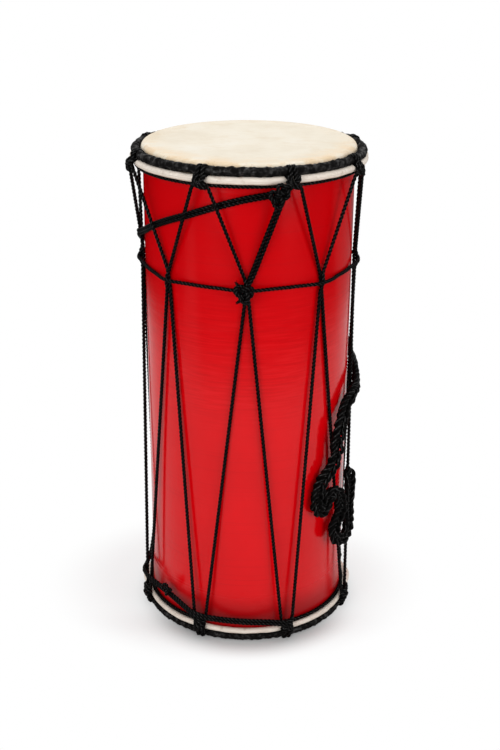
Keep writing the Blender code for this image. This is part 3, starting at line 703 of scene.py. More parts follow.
# Distances from the axis over which the skin changes
WARM_SKIN = (0.074, 0.103)
FLECKED_SKIN = (0.080, 0.101)
STAINED_EDGE = (0.0995, 0.1045)
LAPPED_SKIN = (SHELL_RADIUS + 0.0016, SHELL_RADIUS + 0.0040)
# Distances in front of the axis over which the skin grows warmer, and heights where the upper head begins
WARM_FRONT = (-0.03, 0.06)
UPPER_HEAD = (0.25, 0.26)
# Depths under the middle of the upper roll over which its painted under-side shade ends, and its painted
# crease shade
ROLL_SHADE = (0.0034, 0.0008)
CREASE_DEPTH = 0.0004
CREASE_WAVES = 0.0022
CREASE_WIDTH = 0.0004


def rawhide():
    """Scraped goat skin, greyer and stained where it is lapped round its hoop."""
    finish = Finish("rawhide")
    spot = finish.spot()
    blotch = finish.grain(spot, 16.0, 5.0, 0.6)
    cloud = finish.grain(finish.stretched(spot, (1.0, 1.6, 1.0)), 42.0, 6.0, 0.66)
    fibre = finish.grain(finish.stretched(spot, (60, 420, 300)), 1.0, 4.0)
    pore = finish.node("ShaderNodeTexVoronoi", {"feature": "F1"}, {"Vector": spot, "Scale": 900.0})
    x, y, z = finish.axes(spot)
    radius = span(x, y)
    face = finish.ramp(blotch, ((0.28, srgb(233, 221, 199)), (0.5, srgb(243, 234, 216)),
                                (0.72, srgb(247, 241, 228))))
    face = finish.mixed(finish.between(cloud, 0.50, 0.72) * 0.35, face, srgb(229, 211, 182))
    front = 0.2 + 0.8 * finish.between(0.0 - y, *WARM_FRONT)
    warm = finish.between(radius, *WARM_SKIN) * finish.between(cloud, 0.30, 0.62) * front
    face = finish.mixed(warm * 0.85, face, srgb(245, 220, 184))
    veins = finish.between(finish.grain(finish.stretched(spot, (26, 9, 20)), 1.0, 6.0, 0.62), 0.56, 0.72)
    face = finish.mixed(veins * 0.3, face, srgb(222, 199, 162))
    fleck = finish.between(finish.grain(finish.stretched(spot, (1, 2.2, 1)), 330.0, 3.0, 0.6), 0.60, 0.70)
    face = finish.mixed(fleck * finish.between(radius, *FLECKED_SKIN) * 0.45, face, srgb(176, 140, 98))
    edge = finish.between(radius, *STAINED_EDGE) * finish.between(cloud, 0.42, 0.56)
    face = finish.mixed(edge * 0.35, face, srgb(214, 182, 138))
    side = finish.ramp(fibre, ((0.3, srgb(216, 203, 189)), (0.7, srgb(236, 226, 214))))
    stain = finish.between(finish.grain(spot, 95.0, 5.0, 0.65), 0.55, 0.72)
    side = finish.mixed(stain * 0.5, side, srgb(164, 138, 116))
    roll = HEIGHT - ROLL_SHOWN[TOP][1]
    lit = finish.between(z, *(roll - depth for depth in ROLL_SHADE))
    side = finish.mixed((1.0 - lit) * finish.between(z, *UPPER_HEAD) * 0.55, side, srgb(166, 134, 104))
    # painted shade along a wavy crease under the upper roll
    above = z - (roll - CREASE_DEPTH + CREASE_WAVES * (finish.grain(spot, 22.0, 2.0) - 0.5))
    crease_shade = finish.between(above, -CREASE_WIDTH, 0.0) * (1.0 - finish.between(above, 0.0, CREASE_WIDTH))
    side = finish.mixed(crease_shade * finish.between(fibre, 0.35, 0.6) * 0.5, side, srgb(150, 122, 98))
    color = finish.mixed(finish.between(radius, *LAPPED_SKIN), face, side)
    relief = fibre * 0.5 + blotch * 0.8 + pore * 0.25
    return finish.wear(Base_Color=color, Roughness=0.5 + 0.2 * blotch, IOR=1.45,
                       Normal=finish.bump(relief, 0.00025, 0.35))


# Distances from a rope's middle over which its strands begin to shine
STRAND_TOP = (0.84 * ROPE_RADIUS, 1.00 * ROPE_RADIUS)


def black_rope():
    finish = Finish("black_rope")
    along = finish.node("ShaderNodeAttribute", {"attribute_name": "lay"}, {}, "Vector")
    fibre = finish.grain(finish.stretched(along, (2600, 2600, 170)), 1.0, 4.0, 0.6)
    dust = finish.grain(finish.spot(), 60.0, 4.0)
    color = finish.ramp(fibre, ((0.3, srgb(2, 2, 2)), (0.62, srgb(8, 7, 7)), (0.8, srgb(26, 24, 23))))
    color = finish.mixed(finish.between(dust, 0.5, 0.75) * 0.15, color, srgb(38, 35, 34))
    off_axis = finish.node("ShaderNodeVectorMath", {"operation": "LENGTH"},
                           {0: finish.stretched(along, (1, 1, 0))}, "Value")
    glint = finish.between(off_axis, *STRAND_TOP) * (0.45 + 0.55 * finish.between(fibre, 0.40, 0.64))
    return finish.wear(Base_Color=color, Roughness=0.42 + 0.35 * fibre, IOR=1.5, Specular_IOR_Level=0.02,
                       Coat_Weight=glint * 0.9, Coat_Roughness=0.26, Normal=finish.bump(fibre, 0.0003, 0.6))


def black_cloth():
    finish = Finish("black_cloth")
    spot = finish.spot()
    thread = finish.grain(finish.stretched(spot, (1, 1, 2.2)), 900.0, 4.0, 0.7)
    fold = finish.grain(spot, 160.0, 5.0, 0.6)
    color = finish.ramp(thread, ((0.3, srgb(3, 3, 3)), (0.6, srgb(13, 11, 11)), (0.8, srgb(40, 37, 36))))
    glint = finish.between(fold, 0.46, 0.68)
    # painted sheen: the cloth's colour is lighter where its folds glint
    color = finish.mixed(glint * 0.25, color, srgb(50, 46, 45))
    return finish.wear(Base_Color=color, Roughness=0.75 + 0.2 * thread, IOR=1.45, Specular_IOR_Level=0.08,
                       Coat_Weight=glint * 0.65, Coat_Roughness=0.35,
                       Normal=finish.bump(thread * 0.5 + fold, 0.0006, 0.7))


def hoop_steel():
    finish = Finish("hoop_steel")
    spot = finish.spot()
    drawn = finish.grain(finish.stretched(spot, (300, 300, 1400)), 1.0, 3.0)
    rust = finish.between(finish.grain(spot, 120.0, 5.0), 0.58, 0.72)
    color = finish.ramp(drawn, ((0.3, srgb(150, 150, 152)), (0.7, srgb(186, 186, 188))))
    color = finish.mixed(rust * 0.5, color, srgb(120, 86, 62))
    return finish.wear(Base_Color=color, Metallic=1.0 - 0.7 * rust,
                       Roughness=0.35 + 0.3 * rust + 0.1 * drawn, Normal=finish.bump(drawn, 0.0001, 0.4))


# Shapes

def shown(name, verts, faces, finish, body, node, lay_along=None):
    """Piece made of vertices and faces, which rides on a body and stands for the node that it replaces."""
    mesh = bpy.data.meshes.new(name)
    mesh.from_pydata(np.asarray(verts).tolist(), [], faces)
    mesh.validate()
    mesh.shade_smooth()
    mesh.materials.append(finish)
    if lay_along is not None:
        attribute = mesh.attributes.new("lay", "FLOAT_VECTOR", "POINT")
        attribute.data.foreach_set("vector", np.asarray(lay_along, dtype=np.float32).ravel())
    piece = bpy.data.objects.new(name, mesh)
    bpy.context.scene.collection.objects.link(piece)
    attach(piece, body)
    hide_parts(node)
    return piece


def spaced(points, step, closed):
    """Evenly spaced samples along rows of points; the first three columns are the place."""
    rows = np.asarray(points, dtype=float)
    if closed:
        rows = np.vstack([rows, rows[:1]])
    run = np.concatenate([[0], np.cumsum(np.linalg.norm(np.diff(rows[:, :3], axis=0), axis=1))])
    count = max(3, round(run[-1] / step))
    stops = np.linspace(0, run[-1], count + 1)
    even = np.stack([np.interp(stops, run, column) for column in rows.T], axis=1)
    return even[:-1] if closed else even


def eased(points, closed=False, ease=ROPE_EASE, step=ROPE_RING):
    """Evenly spaced samples along rows of points, with the corners eased."""
    fine = spaced(points, ease / EASE_SAMPLES, closed)
    reach = 3 * EASE_SAMPLES
    kernel = np.exp(-0.5 * (np.arange(-reach, reach + 1) / EASE_SAMPLES) ** 2)
    kernel /= kernel.sum()
    if closed:
        padded = np.vstack([fine[-reach:], fine, fine[:reach]])
    else:
        padded = np.vstack([2 * fine[0] - fine[reach:0:-1], fine, 2 * fine[-1] - fine[-2:-reach - 2:-1]])
    soft = np.stack([np.convolve(column, kernel, "valid") for column in padded.T], axis=1)
    return spaced(soft, step, closed)


def carried(line, closed):
    """Direction along a line and two directions across it, carried along without turning about it."""
    ahead = np.roll(line, -1, axis=0)
    behind = np.roll(line, 1, axis=0)
    if not closed:
        ahead[-1] = line[-1]
        behind[0] = line[0]
    along = ahead - behind
    along /= np.linalg.norm(along, axis=1)[:, None]
    across = np.empty_like(along)
    start = Vector(along[0]).orthogonal().normalized()
    for index, direction in enumerate(along):
        start = start - start.dot(direction) * Vector(direction)
        start.normalize()
        across[index] = start
    run = np.concatenate([[0], np.cumsum(np.linalg.norm(np.diff(line, axis=0), axis=1))])
    if closed:
        end = start - start.dot(along[0]) * Vector(along[0])
        end.normalize()
        slip = math.atan2(end.cross(Vector(across[0])).dot(along[0]), end.dot(Vector(across[0])))
        turn = slip * run / (run[-1] + np.linalg.norm(line[0] - line[-1]))
        beside = np.cross(along, across)
        across = across * np.cos(turn)[:, None] + beside * np.sin(turn)[:, None]
    return along, across, np.cross(along, across), run


def pressed(offsets, rows):
    """Offsets of a rope's surface from its middle, swollen and pressed flat as its rows say."""
    press = rows[:, 5:8] / np.maximum(np.linalg.norm(rows[:, 5:8], axis=1), 1e-6)[:, None]
    thinned = np.einsum("ijk,ik->ij", offsets, press) * (1 - rows[:, 3])[:, None]
    return (offsets - thinned[..., None] * press[:, None, :]) * rows[:, 4][:, None, None]


def rope_form(rows, radius, closed, lay_length=ROPE_LAY, sides=ROPE_SIDES):
    """Vertices, faces and lay of a three-strand rope along rows.

    The rows are places, or like those of a hitch. The lay is each vertex's place on a straight lacing rope.
    """
    line = rows[:, :3]
    along, across, beside, run = carried(line, closed)
    whole = run[-1] + (np.linalg.norm(line[0] - line[-1]) if closed else 0.0)
    turns = whole / lay_length
    turns = max(1, round(turns)) if closed else turns
    twist = 2 * math.pi * turns * run / whole
    around = 2 * math.pi * np.arange(sides) / sides
    lobes = 1 - GROOVE * (0.5 - 0.5 * np.cos(3 * around)) ** GROOVE_POWER + CREST
    angle = around[None, :] + twist[:, None]
    reach = np.broadcast_to(radius * lobes, angle.shape)
    offsets = ((reach * np.cos(angle))[..., None] * across[:, None, :]
               + (reach * np.sin(angle))[..., None] * beside[:, None, :])
    if rows.shape[1] > 3:
        offsets = pressed(offsets, rows)
    verts = line[:, None, :] + offsets
    even = ROPE_RADIUS / radius * reach
    flat = np.stack([even * np.cos(around), even * np.sin(around),
                     np.broadcast_to(run[:, None], even.shape)], axis=2)
    count = len(line)
    rings = np.arange(count * sides).reshape(count, sides)
    if not closed:
        verts, flat, rings = with_tips(verts, flat, rings, line, along, radius)
    here = rings if closed else rings[:-1]
    there = np.roll(rings, -1, axis=0) if closed else rings[1:]
    faces = np.stack([here, np.roll(here, -1, axis=1), np.roll(there, -1, axis=1), there], axis=2)
    faces = faces.reshape(-1, 4).tolist()
    if not closed:
        faces += [rings[0][::-1].tolist(), rings[-1].tolist()]
    return verts.reshape(-1, 3), faces, flat.reshape(-1, 3)


def with_tips(verts, flat, rings, line, along, radius):
    """Rings with a rounded tip added at both ends of a rope."""
    sides = verts.shape[1]
    for end, sign in ((0, -1.0), (-1, 1.0)):
        tips = []
        for out, shrink in ROPE_TIP:
            middle = line[end] + sign * out * radius * along[end]
            tips.append(middle + (verts[end] - line[end]) * shrink)
        tips = np.array(tips)
        lays = np.repeat(flat[end][None], len(tips), axis=0)
        verts = np.vstack([tips[::-1], verts]) if end == 0 else np.vstack([verts, tips])
        flat = np.vstack([lays, flat]) if end == 0 else np.vstack([flat, lays])
    return verts, flat, np.arange(len(verts) * sides).reshape(-1, sides)


def joined(forms):
    """Several forms as one."""
    verts, faces, lays = [], [], []
    base = 0
    for form_verts, form_faces, form_lays in forms:
        verts.append(form_verts)
        lays.append(form_lays)
        faces += [[base + index for index in face] for face in form_faces]
        base += len(form_verts)
    return np.vstack(verts), faces, np.vstack(lays)


def rope_piece(name, forms, node, body=DRUM):
    verts, faces, lays = joined(forms)
    return shown(name, verts, faces, ROPE, body, node, lays)


def wander(turn, seed, waves, size):
    """Smooth uneven offset that closes round a turn, which is an array in radians."""
    draw = np.random.default_rng(seed)
    total = np.zeros_like(turn)
    for wave in waves:
        total += draw.uniform(0.4, 1.0) * np.cos(wave * turn + draw.uniform(0, 2 * math.pi))
    return size * total / len(waves)


def round_axis(turn, radius, height):
    """Vertices and faces of a closed surface; turn is a column, and each row of the others is an outline."""
    verts = np.stack([radius * np.sin(turn), -radius * np.cos(turn), height], axis=2)
    index = np.arange(radius.size).reshape(radius.shape)
    there = np.roll(index, -1, axis=0)
    faces = np.stack([index, there, np.roll(there, -1, axis=1), np.roll(index, -1, axis=1)], axis=2)
    return verts.reshape(-1, 3), faces.reshape(-1, 4).tolist()


def turned(outline, steps=TURNED_STEPS, shape=None):
    """Vertices and faces of a closed outline of (radius, height) points turned round the axis.

    Shape, if given, takes the angles as a column and the outline's radii and heights as rows, and returns
    the radii and heights moved.
    """
    ring = np.array(outline)
    turn = (2 * math.pi * np.arange(steps) / steps)[:, None]
    radius = np.repeat(ring[None, :, 0], steps, axis=0)
    height = np.repeat(ring[None, :, 1], steps, axis=0)
    if shape:
        radius, height = shape(turn, radius, height)
    return round_axis(turn, radius, height)


def facing(end, faces):
    """Faces turned to the outside: outlines of the lower end run the other way round."""
    return faces if end == TOP else [face[::-1] for face in faces]


def thickened(line, thickness):
    """Closed outline of a band of even thickness that follows an open line."""
    sides = ([], [])
    for index, point in enumerate(line):
        before = line[max(index - 1, 0)]
        after = line[min(index + 1, len(line) - 1)]
        along = Vector((after[0] - before[0], after[1] - before[1])).normalized()
        for side, sign in zip(sides, (0.5, -0.5)):
            side.append((point[0] - along.y * thickness * sign, point[1] + along.x * thickness * sign))
    return sides[0] + sides[1][::-1]


# Finishes in use

LACQUER = red_lacquer()
HIDE = rawhide()
ROPE = black_rope()
CLOTH = black_cloth()
STEEL = hoop_steel()

# Camera

IMAGE_HEIGHT = 750          # height of the image, focal length and sideways shift in pixels
FOCUS = 1219.7
SHIFT = 2.28
CAMERA_PLACE = (0.0, -1.197, 0.7575)
CAMERA_DOWN = 22.64         # how far down it looks, and how far it is rolled
CAMERA_ROLL = 0.35


def set_camera():
    data = bpy.data.cameras.new("camera")
    data.sensor_fit = "VERTICAL"
    data.sensor_height = 36.0
    data.lens = FOCUS * data.sensor_height / IMAGE_HEIGHT
    data.shift_x = SHIFT / IMAGE_HEIGHT
    data.clip_end = 60.0
    camera = bpy.data.objects.new("camera", data)
    camera.location = CAMERA_PLACE
    pitch = Matrix.Rotation(math.radians(90 - CAMERA_DOWN), 4, "X")
    roll = Matrix.Rotation(math.radians(CAMERA_ROLL), 4, "Z")
    camera.rotation_euler = (pitch @ roll).to_euler()
    bpy.context.scene.collection.objects.link(camera)
    bpy.context.scene.camera = camera


set_camera()

# Ropes that the chain lies on, in the order in which they are laid
nothing = np.empty((0, 3))
strap_track = doubled(smooth(at_height(STRAP_ROUTE), ROPE_STEP))
under = [spot for spot in strap_track if spot[0] > STRAP_UNDER_TO]
strap_front = np.vstack([dense(lay(under[:len(under) // 2], ROPE_RADIUS, nothing)),
                         dense(lay(under[len(under) // 2:], ROPE_RADIUS, nothing))])
laced = strap_front
lacings = []
for round_index in range(2):
    lacings.append(lacing(round_index, laced))
    laced = np.vstack([laced, dense([Vector(row[:3]) for row in lacings[-1]], closed=True)])
laced = laced[len(strap_front):]
between_gathers = (GATHERS[1] + GATHERS[2]) / 2
girdle_track = [(between_gathers + turn, GIRDLE_HEIGHT) for turn in np.linspace(0, 360, GIRDLE_POINTS + 1)]
girdle = [drawn_in(spot) for spot in lay(girdle_track, ROPE_RADIUS, laced)[:-1]]
laced = np.vstack([laced, dense(girdle, closed=True)])
girdle_end = girdle_end_points(strap_front)
laced = np.vstack([laced, dense(girdle_end)])
strap = lay(strap_track, ROPE_RADIUS, laced, buried=lambda angle: angle > STRAP_UNDER_TO)
strap = [drawn_in(spot) for spot in strap]
laced = np.vstack([laced, dense(strap)])
tie_route = [(angle, LINE_DEPTH[BOTTOM] - TIE_LOWER + above) for angle, above in TIE_ROUTE]
tie_track = doubled(smooth(tie_route, TIE_STEP))
tie = []
for side in (tie_track[:len(tie_track) // 2], tie_track[len(tie_track) // 2:]):
    tie += lay_over(side, ROPE_RADIUS, laced)
tie = [climbed(spot) for spot in tie]
laced = np.vstack([laced, dense(tie)])
laced = np.vstack([laced] + [dense(binding_line(end)) for end in (TOP, BOTTOM)])
chain_track = smooth(at_height(CHAIN_ROUTE), CHAIN_TRACK_STEP)
chain = lay(chain_track, CHAIN_RADIUS, laced, CHAIN_SLOPE)

# Chain sinnet: one rope drawn into loops, each pulled through the one before it
STITCH = 0.0078             # distance from one loop to the next
CHAIN_ROPE = 0.0025         # radius of the rope that is chained
CHAIN_LAY = 0.034           # length in which its strands turn once
CHAIN_SIDES = 9
CHAIN_RING = 0.0010         # distance between its rings
CHAIN_SAMPLES = 8           # samples from one point of a loop to the next
CHAIN_EASE = 0.006          # length over which the chain's corners are eased
CHAIN_STEP = 0.001
STITCH_SIDE = 0.0055        # distance of a loop's legs from the middle of the chain
STITCH_NECK = 0.0026        # the same where the legs come through the loop before
STITCH_FRONT = 0.0030
STITCH_BACK = 0.0026
STITCH_UNEVEN = 0.0005      # how much the loops differ
CHAIN_CORE = 0.0032         # radius of the turns that are hidden in the middle of the chain
CORE_LAY = 0.012
CORE_RING = 0.002
CHAIN_ROOT = 0.065          # length of its thinner root
CHAIN_GROWS = 0.03          # length over which it then grows to its whole thickness
CHAIN_THIN = 0.60           # share of its thickness that the root has
CHAIN_SEATS = 0.0019        # how much nearer the shell the root lies
CHAIN_FACING = 0.7          # how much the chain's face is turned to the front
# One loop: share of a stitch along the chain, sideways as a share of STITCH_SIDE or STITCH_NECK, outwards
LOOP = ((0.12, -1.0, "neck", -0.0010), (0.50, -1.05, "neck", 0.0024), (0.95, -0.86, "side", STITCH_FRONT),
        (1.45, -1.0, "side", 0.0014), (1.86, -0.66, "side", -0.0010), (2.05, 0.0, "side", -0.0016),
        (1.86, 0.66, "side", -0.0010), (1.45, 1.0, "side", 0.0014), (0.95, 0.86, "side", STITCH_FRONT),
        (0.50, 1.05, "neck", 0.0024), (0.12, 1.0, "neck", -0.0010), (0.26, 0.35, "neck", -STITCH_BACK),
        (0.78, -0.2, "neck", -STITCH_BACK))
LOOP_LENGTH = 2.05          # length of a loop, in stitches
CHAIN_TAIL = 0.004          # length of the end that is left after the last loop
CHAIN_STARTS_IN = 0.001     # how far under the chain's middle its rope starts
CHAIN_ENDS_OUT = 0.0006     # how far over it the rope comes out of the last loop
CHAIN_SEED = 8


def chain_sinnet(line):
    """Path of one rope that is chained along a line on the drum, and the middle of the chain."""
    rows = eased([tuple(point) for point in line], ease=CHAIN_EASE, step=CHAIN_STEP)
    outward = rows * np.array([1.0, 1.0, 0.0])
    outward /= np.linalg.norm(outward, axis=1)[:, None]
    along, _, _, run = carried(rows, False)
    outward = outward + CHAIN_FACING * np.array([0.0, -1.0, 0.0])
    outward -= (outward * along).sum(axis=1)[:, None] * along
    outward /= np.linalg.norm(outward, axis=1)[:, None]
    sideways = np.cross(along, outward)

    full = np.clip((run - CHAIN_ROOT) / CHAIN_GROWS, 0, 1)[:, None]
    thick = CHAIN_THIN + (1 - CHAIN_THIN) * full
    rows = rows - CHAIN_SEATS * (1 - full) * outward
    draw = np.random.default_rng(CHAIN_SEED)

    def at(run_to, side, out):
        return np.array([np.interp(run_to, run, column) for column in
                         (rows + side * sideways + out * thick * outward).T])

    count = int((run[-1] - CHAIN_TAIL) / STITCH - LOOP_LENGTH + 1)
    path = [at(0.0, 0.0, -CHAIN_STARTS_IN)]
    for index in range(count):
        uneven = draw.normal(0, STITCH_UNEVEN, 2)
        for share, side, width, out in LOOP:
            side *= STITCH_SIDE if width == "side" else STITCH_NECK
            path.append(at((index + share) * STITCH, side + uneven[0], out + 0.5 * uneven[1]))
    tip = (count - 1 + LOOP_LENGTH) * STITCH
    path += [at(tip - STITCH, 0.0, CHAIN_ENDS_OUT), at(tip + CHAIN_TAIL, 0.0, 0.0)]
    return path, rows[run < tip + CHAIN_ROPE]


sinnet, chain_middle = chain_sinnet(chain)
chain_rows = spaced(through(sinnet, CHAIN_SAMPLES), CHAIN_RING, False)
core_rows = spaced(chain_middle, CORE_RING, False)
chain_piece = rope_piece("spare_chain_sinnet",
                         [rope_form(chain_rows, CHAIN_ROPE, False, CHAIN_LAY, CHAIN_SIDES),
                          rope_form(core_rows, CHAIN_CORE, False, CORE_LAY, CHAIN_SIDES)],
                         "spare_chain", TAIL)

# Ropes on the drum

GIRDLE_EASE = 0.003         # lengths over which the corners of the girdle and of doubled ropes are eased
DOUBLED_EASE = 0.0016

for index, rows in enumerate(lacings):
    collars = [collar(TOP, angle) for angle in HITCHES[TOP][index::2]]
    collars += [collar(BOTTOM, angle) for angle in HITCHES[BOTTOM][1 - index::2]]
    forms = [rope_form(eased(rows, True), ROPE_RADIUS, True)]
    forms += [rope_form(eased(wound), ROPE_RADIUS, False) for wound in collars]
    rope_piece(f"lacing_rope_{index + 1}_laid", forms, f"lacing_rope_{index + 1}")
for node, points, closed, ease in (("girdle_rope", girdle, True, GIRDLE_EASE),
                                   ("girdle_spare_end", girdle_end, False, ROPE_EASE),
                                   ("spare_strap", strap, False, DOUBLED_EASE),
                                   ("lower_tie", tie, False, DOUBLED_EASE)):
    rope_piece(f"{node}_laid", [rope_form(eased(points, closed, ease), ROPE_RADIUS, closed)], node)
for end, (first, last) in BINDING_LINES.items():
    line = binding_line(end)
    whole = last - first == 360
    rows = eased(line[:-1] if whole else line, whole)
    rope_piece(f"{end}_binding_line_laid", [rope_form(rows, ROPE_RADIUS, whole)], f"{end}_binding_line")

# Knots

KNOT_SWELL = 1.66           # rope of a knot beside the thinner one of its solid
KNOT_LAY = 0.010
KNOT_RING = 0.0009          # distance between the rings of a knot's rope
KNOT_OUTSIDE = LEG_RADIUS + 3 * ROPE_RADIUS     # distance from the axis at which cut ends leave a knot
# Knots of a piece: angle, height above its place and size
GIRDLE_KNOTS = ((GIRDLE_KNOT_ANGLE, 0.0, 1.0), (-1.2, -0.0035, 0.8))
STRAP_KNOTS = ((12.2, 0.0012, 0.95), (15.0, 0.0085, 0.85))
TIE_KNOTS = ((-47.5, 0.0215, 0.72),)
# Cut ends of a piece, by their seed: angle, distance inside KNOT_OUTSIDE and height above its place
GIRDLE_CUTS = {3: ((-2.0, 0.0, 0.0), (-4.2, 0.0, 0.004), (-5.6, 0.001, 0.007)),
               4: ((-1.5, 0.0, -0.003), (-3.2, 0.0, -0.008), (-4.8, 0.001, -0.011))}
STRAP_CUTS = {6: ((14.0, 0.0, -0.002), (12.6, 0.0, -0.006), (12.8, 0.001, -0.011))}
CUT_END = 0.9               # thickness of a cut end beside its rope
YARNS = 9                   # loose yarns at a cut end
YARN = 0.00036              # radius of a loose yarn
YARN_LENGTH = (0.0014, 0.0030)
YARN_ROOT = 0.001           # length of it inside the rope
YARN_SCATTER = 0.0006
YARN_SPLAY = 0.5
YARN_LAY = 0.006
YARN_RING = 0.001
YARN_SIDES = 6


def knot_form(spot, share):
    """Overhand knot at an (angle, height) spot."""
    rows = eased(knot_points(spot, laced, share), True, KNOT_RING, KNOT_RING)
    return rope_form(rows, share * KNOT_SWELL * KNOT_ROPE_RADIUS, True, KNOT_LAY)


def frayed(points, seed):
    """Cut rope end whose tip has come apart into loose yarns."""
    rows = eased(points)
    forms = [rope_form(rows, CUT_END * ROPE_RADIUS, False)]
    draw = np.random.default_rng(seed)
    ahead = (rows[-1] - rows[-3]) / np.linalg.norm(rows[-1] - rows[-3])
    for _ in range(YARNS):
        splay = ahead + draw.normal(0, YARN_SPLAY, 3)
        splay /= np.linalg.norm(splay)
        root = rows[-1] + draw.normal(0, YARN_SCATTER, 3)
        tip = root + splay * draw.uniform(*YARN_LENGTH)
        yarn = spaced([root - YARN_ROOT * splay, tip], YARN_RING, False)
        forms.append(rope_form(yarn, YARN, False, YARN_LAY, YARN_SIDES))
    return forms


def knot_piece(node, height, knots, cuts):
    """Knots at a height, with their cut ends."""
    forms = [knot_form((angle, height + above), size) for angle, above, size in knots]
    for seed, stops in cuts.items():
        points = [place(angle, KNOT_OUTSIDE - inside, height + above) for angle, inside, above in stops]
        forms += frayed(points, seed)
    rope_piece(f"{node}_tied", forms, node)


knot_piece("girdle_knot", GIRDLE_HEIGHT, GIRDLE_KNOTS, GIRDLE_CUTS)
knot_piece("strap_knot", end_height(TOP, STRAP_KNOT_DEPTH), STRAP_KNOTS, STRAP_CUTS)
knot_piece("lower_tie_knot", LINE_DEPTH[BOTTOM], TIE_KNOTS, {})

# Shell and heads

SHARP_EDGE = 40.0           # angle past which an edge of the shell stays sharp


def rim_edge(radius, count):
    """Arc round the middle of the shell's rounded edge."""
    return arc((SHELL_RADIUS - EDGE_RADIUS, RIM_DEPTH + EDGE_RADIUS), radius, 270, 360, count)


def build_shell():
    inner = SHELL_RADIUS - SHELL_WALL
    half = [(inner, RIM_DEPTH + EDGE_BEVEL), (inner + EDGE_BEVEL / 2, RIM_DEPTH)]
    half += rim_edge(EDGE_RADIUS, RIM_STEPS)
    verts, faces = turned(at_end(TOP, half) + at_end(BOTTOM, half)[::-1])
    piece = shown("lacquered_shell", verts, faces, LACQUER, DRUM, "shell")
    piece.data.set_sharp_from_angle(angle=math.radians(SHARP_EDGE))


FACE_RINGS = (0.0, 0.03, 0.06, 0.085, 0.095)
LAP = 0.004                 # distance over which the skin grows uneven outside the shell
LAP_END = -150              # angle round the hoop at which the lapped skin ends
# Unevenness of a lapped skin, outwards and along the axis: waves round the drum and their size
LUMPS = ((3, 5, 8, 13, 21, 34, 47, 61), 0.0007)
DROOPS = ((4, 7, 11, 18, 29), 0.0006)
# Angles between hitches where the lapped skin stands out, and how far
SLACK_SKIN = {TOP: (), BOTTOM: ((94.0, 0.0052), (266.0, 0.0052))}
SLACK_SPREAD = 12.0


def build_head(end, seed):
    middle = SKIN_INSIDE + SKIN / 2
    hoop_radius, hoop_depth, roll = ROLL_SHOWN[end]
    web = hoop_depth + roll - SKIN / 2
    tuck = min(TUCK_RADIUS, (hoop_radius - middle) * TUCK_SHARE)
    line = [(radius, SKIN / 2) for radius in FACE_RINGS]
    line += rim_edge(EDGE_RADIUS + CLEARANCE + SKIN / 2, SHOULDER_STEPS)
    line += arc((middle + tuck, web - tuck), tuck, 180, 90, TUCK_STEPS)
    line += arc((hoop_radius, hoop_depth), roll - SKIN / 2, 90, LAP_END, ROLL_STEPS)

    def uneven(turn, radius, height):
        lapped = np.clip((radius - SKIN_OUTSIDE) / LAP, 0, 1)
        for angle, far in SLACK_SKIN[end]:
            radius = radius + lapped * far * np.exp(-((np.degrees(turn) - angle) / SLACK_SPREAD) ** 2)
        lump, droop = wander(turn, seed, *LUMPS), wander(turn, seed + 1, *DROOPS)
        return radius + lapped * lump, height + lapped * droop

    verts, faces = turned(at_end(end, thickened(line, SKIN)), shape=uneven)
    shown(f"{end}_rawhide_head", verts, facing(end, faces), HIDE, DRUM, f"{end}_head_skin")


WRAP_SIDES = 18
WRAP_TURNS = 76             # turns of the cloth strip round the ring
WRAP_STEPS = 12             # steps in a turn of the strip
WRAP_CRUMPLE = 0.0010
WRAP_LAP = 0.00065          # thickness of the strip's lap over the turn before
LAP_RISE = 1.15             # slopes of the lap, which rises slowly and drops at the strip's edge
LAP_DROP = 8
# Unevenness of the turns, in turns, and of the thickness: waves round the drum and their size
WRAP_DRIFT = ((2, 5, 9, 16, 25), 0.6)
WRAP_LUMPS = ((3, 7, 12, 19, 31), 0.00025)


def build_wrap(end, seed):
    steps = WRAP_TURNS * WRAP_STEPS
    turn = (2 * math.pi * np.arange(steps) / steps)[:, None]
    around = 2 * math.pi * np.arange(WRAP_SIDES)[None, :] / WRAP_SIDES
    uneven = wander(turn, seed, *WRAP_DRIFT)
    lap = (turn * WRAP_TURNS / (2 * math.pi) + around / (2 * math.pi) + uneven) % 1.0
    draw = np.random.default_rng(seed)
    crumple = draw.normal(0, 1, (steps, WRAP_SIDES))
    for axis in (0, 1, 0):
        crumple = (crumple + np.roll(crumple, 1, axis) + np.roll(crumple, -1, axis)) / 3
    crumple = np.stack([np.roll(crumple[:, side], 2 * side) for side in range(WRAP_SIDES)], axis=1)
    ring, ring_depth, tube = RING_SHOWN[end]
    reach = tube + WRAP_LAP * np.minimum(lap * LAP_RISE, (1 - lap) * LAP_DROP) + WRAP_CRUMPLE * crumple
    reach = reach + wander(turn, seed + 3, *WRAP_LUMPS)
    depth = ring_depth - reach * np.sin(around)
    height = HEIGHT - depth - sink(np.degrees(turn)) if end == TOP else depth
    verts, faces = round_axis(turn, ring + reach * np.cos(around), height)
    shown(f"{end}_cloth_wrap", verts, facing(end, faces), CLOTH, DRUM, f"{end}_ring_wrap")


def build_rod(node, end, middle, radius, shape=None):
    outline = arc(middle, radius, 360 - 360 / ROD_SIDES, 0, ROD_SIDES)
    verts, faces = turned(at_end(end, outline), ROD_STEPS, shape)
    shown(f"{node}_rod", verts, facing(end, faces), STEEL, DRUM, node)


def sunk(turn, radius, height):
    return radius, height - sink(np.degrees(turn))


build_shell()
for end, head_seed, wrap_seed in ((TOP, 11, 5), (BOTTOM, 31, 25)):
    build_head(end, head_seed)
    build_wrap(end, wrap_seed)
    build_rod(f"{end}_flesh_hoop", end, ROLL_SHOWN[end][:2], HOOP_ROD_SHOWN[end])
    build_rod(f"{end}_crown_ring", end, RING_SHOWN[end][:2], RING_ROD_SHOWN[end],
              sunk if end == TOP else None)


# Floor, light and background

